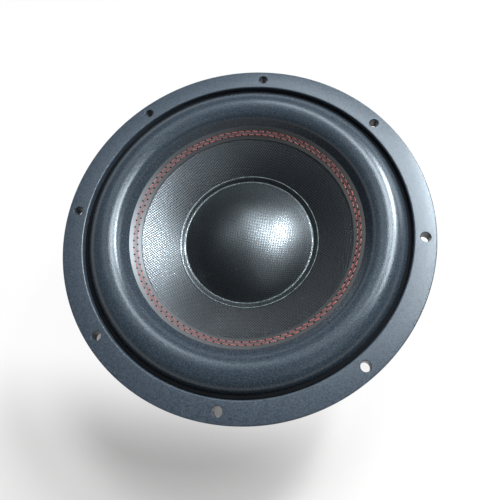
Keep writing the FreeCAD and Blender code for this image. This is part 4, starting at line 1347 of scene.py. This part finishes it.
@dataclass
class Surround:
    """Half-roll surround with its glued band on the cone; sizes in millimetres."""

    cone: ConeSet
    band_inner: float = 93.0
    band_outer: float = 102.4
    roll_outer: float = 136.4
    edge_radius: float = 139.6
    seat_top: float = 151.0
    edge_thickness: float = 1.2
    band_thickness: float = 1.1
    glue_line: float = 0.1
    wall: float = 1.5
    rise: float = 14.3
    corners: tuple[tuple[float, float, float], ...] = (
        (0.121, 0.497, 60), (0.264, 0.826, 28), (0.735, 0.943, -16),
    )
    bulges: tuple[float, float, float] = (0.48, 1.57, 1.4)

    def band_top(self, radius: float) -> float:
        """Height of the band's front at a radius."""
        return float(self.cone.top(radius)) + self.glue_line + self.band_thickness

    def outline(self) -> tuple[np.ndarray, np.ndarray]:
        """Section through the surround.

        The roll has a straight inner flank and three arcs.  Its corners are given by their shares of
        the roll's width and rise and by their slopes; the hollow side's corners are off by the wall
        square to the face.

        Returns:
            The closed outline in metres, anticlockwise, and a finish number for each of its steps.
        """
        table = np.array(self.corners, float)
        slope, width = np.radians(table[:, 2]), self.roll_outer - self.band_outer
        foot = self.band_top(self.band_outer)
        face = np.stack([self.band_outer + table[:, 0] * width, foot + table[:, 1] * self.rise], axis=1)
        under = face + self.wall * np.stack([np.sin(slope), -np.cos(slope)], axis=1)
        outside = np.array((self.roll_outer, self.seat_top + self.edge_thickness))
        flank = np.linspace(face[0], (self.band_outer, foot), 8)
        roll = np.vstack([
            arc(outside, face[2], -self.bulges[2], 22),
            arc(face[2], face[1], -self.bulges[1], 26)[1:],
            arc(face[1], face[0], -self.bulges[0], 14)[1:],
            flank[1:-1],
            flank[-2] * 0.08 + flank[-1] * 0.92,
        ])
        rim, top, corner = self.edge_radius, outside[1], 0.3
        edge = [(rim, self.seat_top), (rim, top - corner), (rim - corner, top)]
        inner, outer = self.band_inner, self.band_outer - 0.12
        inner_top = self.band_top(inner)
        band = [
            (outer, self.band_top(outer)),
            (inner + 0.5, self.band_top(inner + 0.5)),
            (inner + 0.1, inner_top - 0.15),
            (inner, inner_top - 0.5),
            (inner, float(self.cone.top(inner)) + self.glue_line),
        ]
        level = foot - self.band_thickness
        inset = (self.wall - self.band_thickness * math.cos(slope[0])) / math.sin(slope[0])
        hollow = [
            np.array([(self.band_outer, level)]),
            np.linspace((self.band_outer + inset, level), under[0], 7),
            arc(under[0], under[1], self.bulges[0] - 0.04 * self.wall, 8)[1:],
            arc(under[1], under[2], self.bulges[1] - 0.07 * self.wall, 16)[1:],
            arc(under[2], (self.roll_outer - 0.75 * self.wall, self.seat_top), self.bulges[2], 12)[1:],
        ]
        points = np.concatenate([edge, roll, band, *hollow, edge[:1]])
        tags = np.zeros(len(points) - 1, int)
        start = len(edge) + len(roll)
        tags[start - 1 : start + 4] = 1
        # the edge in the seat's groove takes the near-black matte finish: painted shade
        tags[:3] = tags[-1] = 2
        return points * MM, tags

    def build(self) -> None:
        """Turn the surround and dress it; it rides on no body."""
        outline, tags = self.outline()
        piece = new_piece("surround_roll", turned(outline, 288, tags), 50)
        follow = radial_follow(piece, self.roll_outer * MM, self.band_outer * MM)
        finishes = [ROLL_FOAM, BAND_FOAM, PAINTED_SHADE_BLACK]
        stretch(piece, "surround", finishes)


@dataclass
class Stitching:
    """Two rows of red stitches on the band, with a darker thread between them; sizes in millimetres."""

    surround: Surround
    rows: tuple[float, float] = (96.25, 98.95)
    stitches: int = 96
    thread: float = 0.23
    under_thread: float = 0.17
    gap: float = 1.3
    slant: float = 0.34
    sunk: float = 0.02
    hole_radii: tuple[float, float, float] = (0.75, 0.6, 0.0)
    hole_lifts: tuple[float, float, float] = (-0.05, 0.26, 0.16)

    def lift(self, radius: np.ndarray | float) -> np.ndarray | float:
        """Height of the band's front in metres at a radius in millimetres."""
        return (self.surround.cone.top(radius) + self.surround.glue_line + self.surround.band_thickness) * MM

    def dash(self, radius: float, shift: float) -> Surface:
        """One stitch: a thread that leaves a needle hole, lies on the band and dives again.

        The height is 0.6 of the thread over the middle and falls by the sixth power of the distance
        from the middle, so that both ends are under the band's face; the thread crosses its row
        at a slant.

        Args:
            radius: radius of the row.
            shift: place along the row in stitches.

        Returns:
            The thread.
        """
        pitch = FULL_TURN / self.stitches
        share = np.linspace(-1, 1, 9)
        angle = (share * (0.5 - self.gap / 2 / (pitch * radius)) + shift) * pitch
        across = radius + self.slant * share
        height = self.lift(across) + self.thread * MM * (0.6 - 1.7 * np.abs(share) ** 6)
        path = polar(across * MM, angle, height)
        return tube(path, self.thread * MM * (1 - 0.3 * np.abs(share) ** 4), 6)

    def crossing(self, shift: float, way: int) -> Surface:
        """A thinner thread from one row to the other, sunk halfway into the band.

        Args:
            shift: where it starts along the row in stitches.
            way: 1 for outwards, -1 for inwards.

        Returns:
            The thread.
        """
        pitch = FULL_TURN / self.stitches
        share = np.linspace(0, 1, 5)
        radius = self.rows[0] + (self.rows[1] - self.rows[0]) * (share if way > 0 else 1 - share)
        angle = (shift + share * 0.5) * pitch
        path = polar(radius * MM, angle, self.lift(radius) - self.sunk * MM)
        return tube(path, self.under_thread * MM, 5)

    def needle_hole(self, radius: float, shift: float) -> Surface:
        """A dimple where the thread enters the band; its near-black colour is painted shade in the hole.

        Args:
            radius: radius of the row.
            shift: place along the row in stitches.

        Returns:
            A small dish whose edge is just above the band and whose middle is at the band's face.
        """
        turn = np.linspace(0, FULL_TURN, 9)
        size = np.array(self.hole_radii)[:, None]
        middle = shift * FULL_TURN / self.stitches
        outwards, sideways = radius + size * np.cos(turn), size * np.sin(turn)
        x = outwards * math.cos(middle) - sideways * math.sin(middle)
        y = outwards * math.sin(middle) + sideways * math.cos(middle)
        lift = self.lift(np.hypot(x, y)) + np.array(self.hole_lifts)[:, None] * MM
        grid = np.stack([x * MM, y * MM, lift], axis=-1)
        return Surface.from_grid(grid, grid[..., :2])

    def build(self) -> None:
        """Repeat the dashes, the crossings and the needle holes around the band and place them."""
        near, far = self.rows
        rows = [self.dash(near, 0.0), self.dash(far, 0.5)]
        crossings = [self.crossing(shift, way) for shift in (-0.5, -0.25, 0.0, 0.25) for way in (1, -1)]
        holes = [self.needle_hole(near, 0.5), self.needle_hole(far, 0.0)]
        for name, shapes, crease, nodes, finish, slot in (
            ("stitch_rows", rows, 80, ["band_stitching"], RED_THREAD, "thread"),
            ("stitch_crossings", crossings, 80, [], UNDER_THREAD, "thread"),
            ("stitch_holes", holes, 60, [], PAINTED_SHADE_BLACK, "surround_foam"),
        ):
            surface = joined([shape.around_axis(self.stitches) for shape in shapes])
            place(new_piece(name, surface, crease), Body.CONE, nodes, [finish], slot)


@dataclass
class Spider:
    """Corrugated cloth between the cup's ledge and the former; sizes in millimetres."""

    neck: float = 38.7
    waves_start: float = 39.6
    waves_end: float = 79.7
    rim: float = 87.6
    wave: float = 1.45
    waves: int = 4
    thickness: float = 0.7
    clearance: float = 0.06
    neck_rise: float = 3.7

    def build(self) -> None:
        """A sine-waved disc of even thickness with a short neck; its height is from the CAD node."""
        _, seat = heights("spider_ring")
        low = seat + self.clearance
        radius = np.linspace(self.waves_start, self.waves_end, 97)
        phase = (radius - self.waves_start) / (self.waves_end - self.waves_start) * self.waves * FULL_TURN
        height = low - self.wave * np.sin(phase)
        middle = np.stack([np.append(radius, self.rim), np.append(height, low)], axis=1)
        slope = np.gradient(middle, axis=0)
        slope /= np.linalg.norm(slope, axis=1)[:, None]
        normal = np.stack([-slope[:, 1], slope[:, 0]], axis=1)
        upper = middle + normal * self.thickness
        neck_top = seat + self.neck_rise
        neck = [(self.neck + self.thickness, neck_top), (self.neck, neck_top), (self.neck, low)]
        outline = np.concatenate([middle, upper[::-1], neck, middle[:1]])
        piece = new_piece("spider_cloth", turned(outline * MM, 192), 60)
        follow = radial_follow(piece, self.waves_end * MM, self.waves_start * MM)
        stretch(piece, "spider", [SPIDER_CLOTH])
        dress_node("spider_ring", SPACER)


@dataclass
class Motor:
    """Boot, plates, magnets and coil below the frame; sizes in millimetres."""

    magnet_radius: float = 95.0
    boot_wall: float = 3.0
    boot_opening: float = 62.0
    boot_lip: float = 5.0
    boot_grooves: tuple[float, float] = (17.0, 35.0)
    plate_radius: float = 85.0
    top_plate_radius: float = 80.0
    gap_radius: float = 40.7

    def boot(self) -> Surface:
        """Rubber boot round the magnets and the back plate, with shallow grooves round its side.

        Returns:
            The boot.
        """
        low, high = heights("magnet_boot")
        outer, held = self.magnet_radius + self.boot_wall, self.magnet_radius
        floor, plate_top = low + self.boot_wall, heights("lower_magnet")[0]
        magnets_top, lip = heights("upper_magnet")[1], held - self.boot_lip
        grooves = [
            (outer - inset, bottom + up, rounding)
            for bottom in self.boot_grooves
            for inset, up, rounding in ((0, 0, 0.5), (0.7, 0.6, 0.4), (0.7, 2.0, 0.4), (0, 2.6, 0.5))
        ]
        corners = [
            (self.boot_opening, low, 1.0),
            (outer, low, 3.0),
            *grooves,
            (outer, high, 1.4),
            (lip, high, 0.7),
            (lip, magnets_top, 0.1),
            (held, magnets_top, 0.1),
            (held, plate_top, 0.1),
            (self.plate_radius, plate_top, 0.1),
            (self.plate_radius, floor, 0.1),
            (self.boot_opening, floor, 1.0),
        ]
        return turned(rounded(corners, steps=4), 256)

    def top_plate(self) -> Surface:
        """Steel washer with turned chamfers.

        Returns:
            The washer.
        """
        low, high = heights("top_plate")
        corners = [
            (self.gap_radius, low, 0.3), (self.top_plate_radius, low, 1.2),
            (self.top_plate_radius, high, 1.2), (self.gap_radius, high, 0.3),
        ]
        return turned(rounded(corners, steps=2), 256)

    def build(self) -> None:
        """Place the boot and the top plate, and dress the CAD nodes of the rest."""
        boot = new_piece("boot_moulding", self.boot())
        place(boot, Body.FRAME, ["magnet_boot"], [BOOT_RUBBER], "boot_rubber")
        place(new_piece("top_washer", self.top_plate()), Body.FRAME, ["top_plate"], [STEEL], "yoke_steel")
        finishes = {
            "yoke": STEEL, "lower_magnet": FERRITE, "upper_magnet": FERRITE, "shorting_ring": ALUMINIUM,
            "pole_cap": COPPER, "vent_screen": SCREEN_STEEL, "floor_screws": SCREW_STEEL,
            "coil_former": FORMER_METAL, "inner_winding": WIRE, "outer_winding": WIRE,
        }
        for node, finish in finishes.items():
            dress_node(node, finish)


@dataclass
class TerminalBlock:
    """One push-terminal block with its leads; sizes in millimetres."""

    side: Side
    lead_radius: float = 1.0
    cup_radius: float = 92.0
    former_radius: float = 38.5
    spacing: float = 11.0
    tag_across: float = 94.8
    tag_top: float = 99.0
    landing: float = 97.8
    roundings: tuple[tuple[str, float], ...] = (("terminal_base", 0.4), ("terminal_shell", 0.8))
    contact_rounding: float = 0.15
    cap_rounding: float = 0.7

    @property
    def name(self) -> str:
        """The block's name in the frame."""
        return self.side.name.lower()

    def lead(self, pole: Pole) -> Surface:
        """A braided lead from its solder tag over the cup's rim to the former.

        The path is a NURBS spline with the route's points as its control points.

        Args:
            pole: the pole that it serves.

        Returns:
            The lead, on the +X side.
        """
        across = self.spacing * pole.value
        reach = math.sqrt(self.former_radius**2 - (self.spacing - self.lead_radius) ** 2) + 0.3
        route = np.array(
            [
                (self.tag_across, 94.5), (self.tag_across, self.tag_top),
                (self.tag_across - 0.3, self.tag_top + 6.5),
                (self.cup_radius - 5, self.tag_top + 11.0), (self.cup_radius - 14, self.tag_top + 11.6),
                (self.cup_radius - 27, self.tag_top + 8.6), (self.former_radius + 17, self.landing + 3.4),
                (self.former_radius + 8, self.landing + 1.0), (reach, self.landing),
            ]
        )
        control = np.stack([route[:, 0], np.full(len(route), across), route[:, 1]], axis=-1) * MM
        return tube(routed_path(control, 10), self.lead_radius * MM, 12, up=(0, 1, 0))

    def spring(self, node: str) -> None:
        """A merged copy of the spring's CAD coil, dressed in spring steel; it rides on no body.

        Args:
            node: the spring's CAD node.
        """
        coil = softened_copy(node, f"{node}_coil", 0.0)
        reach = np.abs(point_array(coil.data)[:, 0])
        stretch(coil, node, [SPRING_STEEL])

    def build(self) -> None:
        """Place the block's pieces on the frame and its buttons on theirs; its leads, which run to the
        former, ride on no body.
        """
        for part, width in self.roundings:
            node = f"{self.name}_{part}"
            piece = softened_copy(node, f"{node}_moulding", width * MM, 3)
            place(piece, Body.FRAME, [node], [TERMINAL_PLASTIC], "terminal_plastic")
        contacts = f"{self.name}_contacts"
        piece = softened_copy(contacts, f"{contacts}_strips", self.contact_rounding * MM)
        place(piece, Body.FRAME, [contacts], [BRASS], "contact_brass")
        for pole, finish in ((Pole.RED, BUTTON_RED), (Pole.BLACK, BUTTON_BLACK)):
            stem = f"{self.name}_{pole.name.lower()}"
            node = f"{stem}_button"
            cap = softened_copy(node, f"{node}_cap", self.cap_rounding * MM, 3)
            place(cap, node, [node], [finish], f"button_{pole.name.lower()}")
            self.spring(f"{stem}_spring")
        turn = 0.0 if self.side is Side.RIGHT else math.pi
        leads = joined([self.lead(pole) for pole in Pole]).around_axis(1, turn)
        braid = new_piece(f"{self.name}_lead_braids", leads, 80)
        start, finish = self.tag_across * MM, (self.former_radius + 2) * MM
        follow = eased((start - np.abs(point_array(braid.data)[:, 0])) / (start - finish))
        stretch(braid, f"{self.name}_leads", [LEAD_BRAID])


def routed_path(route: np.ndarray, steps: int) -> np.ndarray:
    """Points along a NURBS spline whose control points are a route.

    Args:
        route: (n, 3) control points.
        steps: pieces for each control point.

    Returns:
        Points read from the spline, from the route's first point to its last.
    """
    curve = bpy.data.curves.new("route", "CURVE")
    curve.dimensions, curve.resolution_u = "3D", steps
    spline = curve.splines.new("NURBS")
    spline.points.add(len(route) - 1)
    spline.points.foreach_set("co", np.column_stack([route, np.ones(len(route))]).ravel())
    spline.order_u = 3
    spline.use_endpoint_u = True
    holder = bpy.data.objects.new("route", curve)
    line = bpy.data.meshes.new_from_object(holder)
    points = point_array(line)
    bpy.data.objects.remove(holder)
    bpy.data.curves.remove(curve)
    bpy.data.meshes.remove(line)
    return points


@dataclass
class TerminalScrews:
    """Pan-head screws with crossed recesses; sizes in millimetres, the cross's turn in radians."""

    head: float = 3.0
    head_height: float = 1.8
    shank: float = 1.5
    shank_end: float = -24.0
    cross_reach: float = 1.7
    cross_width: float = 0.6
    cross_depth: float = 0.9
    cross_turn: float = 0.3

    def build(self) -> None:
        """Turn one head, cut its cross, and set it on both blocks."""
        low, high = (np.array(corner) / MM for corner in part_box("terminal_screws"))
        face = high[0] - self.head_height
        outline = rounded(
            [
                (0.0, self.shank_end, 0.0), (self.shank, self.shank_end, 0.2), (self.shank, 0.0, 0.05),
                (self.head, 0.0, 0.1), (self.head, 0.9, 0.7), (1.6, self.head_height, 1.2),
                (0.0, self.head_height, 0.0),
            ],
            steps=4,
            closed=False,
        )
        outline = np.vstack([[0, self.shank_end * MM], outline, [0, self.head_height * MM]])
        screw = turned(outline, 32)
        to_side = np.array([[0, 0, 1, face * MM], [1, 0, 0, 0], [0, 1, 0, 0], [0, 0, 0, 1]], float)
        levels = (low[2] + self.head, high[2] - self.head)
        lifts = np.tile(np.eye(4), (2, 1, 1))
        lifts[:, 2, 3] = np.array(levels) * MM
        right = screw.copies(lifts @ to_side)
        piece = new_piece("terminal_pan_screws", right.around_axis(2))
        bar = rectangle(self.cross_reach, self.cross_width / 2, 0.1, 2)
        slot = prism(bar, (self.head_height - self.cross_depth) * MM, (self.head_height + 1) * MM)
        for turn in (self.cross_turn, self.cross_turn + math.pi / 2):
            carve(piece, slot.around_axis(1, turn).copies(lifts @ to_side).around_axis(2))
        place(piece, Body.FRAME, ["terminal_screws"], [SCREW_STEEL], "screw_steel")


def prism(outline: np.ndarray, low: float, high: float) -> Surface:
    """A closed outline raised between two heights, its ends drawn to their middles.

    Args:
        outline: (n, 2) points in metres that repeat the first at the end.
        low: height of the lower end.
        high: height of the upper end.

    Returns:
        The prism.
    """
    middle = outline[:-1].mean(axis=0)
    plan = np.stack([0 * outline + middle, outline, outline, 0 * outline + middle], axis=1)
    height = np.broadcast_to(np.array([low, low, high, high]), plan.shape[:2])
    grid = np.concatenate([plan, height[..., None]], axis=-1)
    return Surface.from_grid(grid[::-1], plan[::-1])


# ---------------------------------------------------------------- studio


@dataclass(frozen=True)
class Lamp:
    """A rectangular soft lamp; directions are (azimuth from +X towards +Y, elevation) in degrees.

    start and finish are the directions of its short sides, width is in metres and power in watts.
    """

    name: str
    start: tuple[float, float]
    finish: tuple[float, float]
    width: float
    power: float


LAMPS = (
    Lamp("key_strip", (32, 42), (17, 54), 0.14, 20.0),
    Lamp("upper_strip", (16, 58), (-4, 66), 0.2, 6.5),
    Lamp("broad_panel", (36, 70), (54, 57), 0.32, 9.5),
    Lamp("side_panel", (64, 56), (80, 50), 0.3, 2.4),
    Lamp("far_panel", (92, 60), (130, 56), 0.4, 1.3),
    Lamp("near_panel", (-50, 62), (-85, 62), 0.5, 0.6),
    Lamp("low_panel", (2, 20), (30, 25), 0.45, 4.5),
)


@dataclass
class Studio:
    """Pale floor, soft lamps and the camera; metres and degrees.

    painted_shadow_edge is where the floor's glow rises from the first to the second value of glow, along a
    way given by painted_shadow_slant; the low glow towards the front left is a painted shadow.  far_edge is
    where the glow is full all round.  painted_shade_edge is the rim of the disc that the speaker covers, and
    painted_shade_share the part of the glow that is left in it: painted shade on the floor under the speaker.
    """

    floor_size: float = 8.0
    floor_gap: float = 0.0004
    wall_height: float = 1.6
    wall_share: float = 0.98
    pulp: tuple[Colour, Colour] = ((0.82, 0.715, 0.66), (0.84, 0.73, 0.67))
    glow: tuple[float, float] = (0.34, 0.95)
    painted_shadow_edge: tuple[float, float] = (-0.225, -0.11)
    painted_shadow_slant: float = 0.42
    far_edge: tuple[float, float] = (0.9, 1.5)
    painted_shade_edge: tuple[float, float] = (0.213, 0.220)
    painted_shade_share: float = 0.2
    painted_shade_y: float = 0.067
    lamp_distance: float = 1.3
    lamp_lift: float = 0.13
    lamp_colour: Colour = (0.80, 0.92, 1.0)
    world_colour: Colour = (0.92, 0.96, 1.0)
    world_strength: float = 0.03
    camera_place: tuple[float, float, float] = (0.00586, -0.16635, 0.54615)
    camera_turn: tuple[float, float, float] = (23.527, 6.143, -15.497)
    lens: float = 36.0
    sensor: float = 36.0
    shift: tuple[float, float] = (-0.0057, -0.0797)

    def paper(self) -> bpy.types.Material:
        """White paper that keeps the shadow.

        Diffuse paper is mixed with white light of its own, for the rays that see or mirror it only.
        The share of that light falls towards the front left, as a painted shadow, and in a disc that the
        speaker covers, as painted shade under it.

        Returns:
            The material.
        """
        material = bpy.data.materials.new("floor_paper")
        material.use_nodes = True
        sheet = NodeSheet(material.node_tree)
        output = next(node for node in sheet.tree.nodes if node.type == "OUTPUT_MATERIAL")
        fibres = sheet.noise(sheet.where(size=0.4), detail=2.0)
        matte = sheet.add("BsdfDiffuse", {"Color": sheet.mix(fibres, *self.pulp)})
        glow = sheet.add("Emission", {"Color": (1, 1, 1, 1), "Strength": 1.0})
        rays = sheet.add("LightPath", {}).outputs
        seen = sheet.work("MAXIMUM", rays["Is Camera Ray"], rays["Is Glossy Ray"])
        seen = sheet.work("MAXIMUM", seen, rays["Is Transmission Ray"])
        x, y, _ = sheet.parts(sheet.where())
        shift = sheet.work("ADD", y, -self.painted_shade_y)
        away = sheet.work("SQRT", sheet.work("ADD", sheet.product(x, x), sheet.product(shift, shift)))
        # painted shadow: less glow towards the front left
        front = sheet.work("MULTIPLY_ADD", x, self.painted_shadow_slant, y)
        front = sheet.ramp(front, *self.painted_shadow_edge, *self.glow)
        front = sheet.work("MAXIMUM", front, sheet.ramp(away, *self.far_edge, 0.0, self.glow[1]))
        # painted shade: less glow in the disc that the speaker covers
        painted_disc_shade = sheet.ramp(away, *self.painted_shade_edge, self.painted_shade_share, 1.0)
        share = sheet.product(seen, sheet.product(front, painted_disc_shade))
        both = sheet.add("MixShader", {0: share, 1: matte.outputs[0], 2: glow.outputs[0]})
        sheet.put(output.inputs["Surface"], both.outputs[0])
        return material

    def floor(self) -> None:
        """A wide floor and a low wall round it, both of the paper."""
        half = self.floor_size / 2
        x, y = np.meshgrid(np.linspace(-half, half, 3), np.linspace(-half, half, 3))
        grid = np.stack([x, y, 0 * x - self.floor_gap], axis=-1)
        piece = new_piece("studio_floor", Surface.from_grid(grid, grid[..., :2]))
        turn, height = np.meshgrid(np.linspace(0, FULL_TURN, 65), (-0.001, self.wall_height))
        grid = polar(self.wall_share * half, turn, height)
        wall = new_piece("studio_wall", Surface.from_grid(grid, grid[..., :2]))
        paper = self.paper()
        for stage in (piece, wall):
            stage.data.materials.append(paper)

    def hang(self, lamp: Lamp) -> None:
        """Stretch a soft lamp between its two directions, facing the speaker.

        Args:
            lamp: the lamp.
        """
        ends = []
        for azimuth, elevation in (lamp.start, lamp.finish):
            flat, up = math.radians(azimuth), math.radians(elevation)
            way = Vector((math.cos(up) * math.cos(flat), math.cos(up) * math.sin(flat), math.sin(up)))
            ends.append(way * self.lamp_distance)
        along, away = ends[1] - ends[0], (ends[0] + ends[1]).normalized()
        sideways = along.normalized()
        light = bpy.data.lights.new(lamp.name, "AREA")
        light.shape, light.size, light.size_y = "RECTANGLE", along.length, lamp.width
        light.energy, light.color = lamp.power, self.lamp_colour
        holder = bpy.data.objects.new(lamp.name, light)
        bpy.context.scene.collection.objects.link(holder)
        turn = Matrix((sideways, away.cross(sideways), away)).transposed().to_4x4()
        middle = (ends[0] + ends[1]) / 2 + Vector((0, 0, self.lamp_lift))
        holder.matrix_world = Matrix.Translation(middle) @ turn

    def build(self) -> None:
        """Set the floor, the lamps, the world and the camera."""
        self.floor()
        for lamp in LAMPS:
            self.hang(lamp)
        scene = bpy.context.scene
        world = bpy.data.worlds.new("studio_air")
        world.use_nodes = True
        background = next(node for node in world.node_tree.nodes if node.type == "BACKGROUND")
        background.inputs["Color"].default_value = (*self.world_colour, 1)
        background.inputs["Strength"].default_value = self.world_strength
        scene.world = world
        scene.view_settings.view_transform = "Standard"
        data = bpy.data.cameras.new("camera")
        data.lens, data.sensor_width = self.lens, self.sensor
        data.shift_x, data.shift_y = self.shift
        data.clip_start = 0.01
        camera = bpy.data.objects.new("camera", data)
        scene.collection.objects.link(camera)
        camera.location = self.camera_place
        camera.rotation_euler = Euler([math.radians(angle) for angle in self.camera_turn], "XYZ")
        scene.camera = camera


def main() -> None:
    """Build the sub-assemblies from the frame inwards, then the studio."""
    BasketRim().build()
    BasketSpokes().build()
    BasketCup().build()
    cone = ConeSet()
    cone.build()
    surround = Surround(cone)
    surround.build()
    Stitching(surround).build()
    Spider().build()
    Motor().build()
    for side in Side:
        TerminalBlock(side).build()
    TerminalScrews().build()
    Studio().build()


if __name__ == "__main__":
    main()
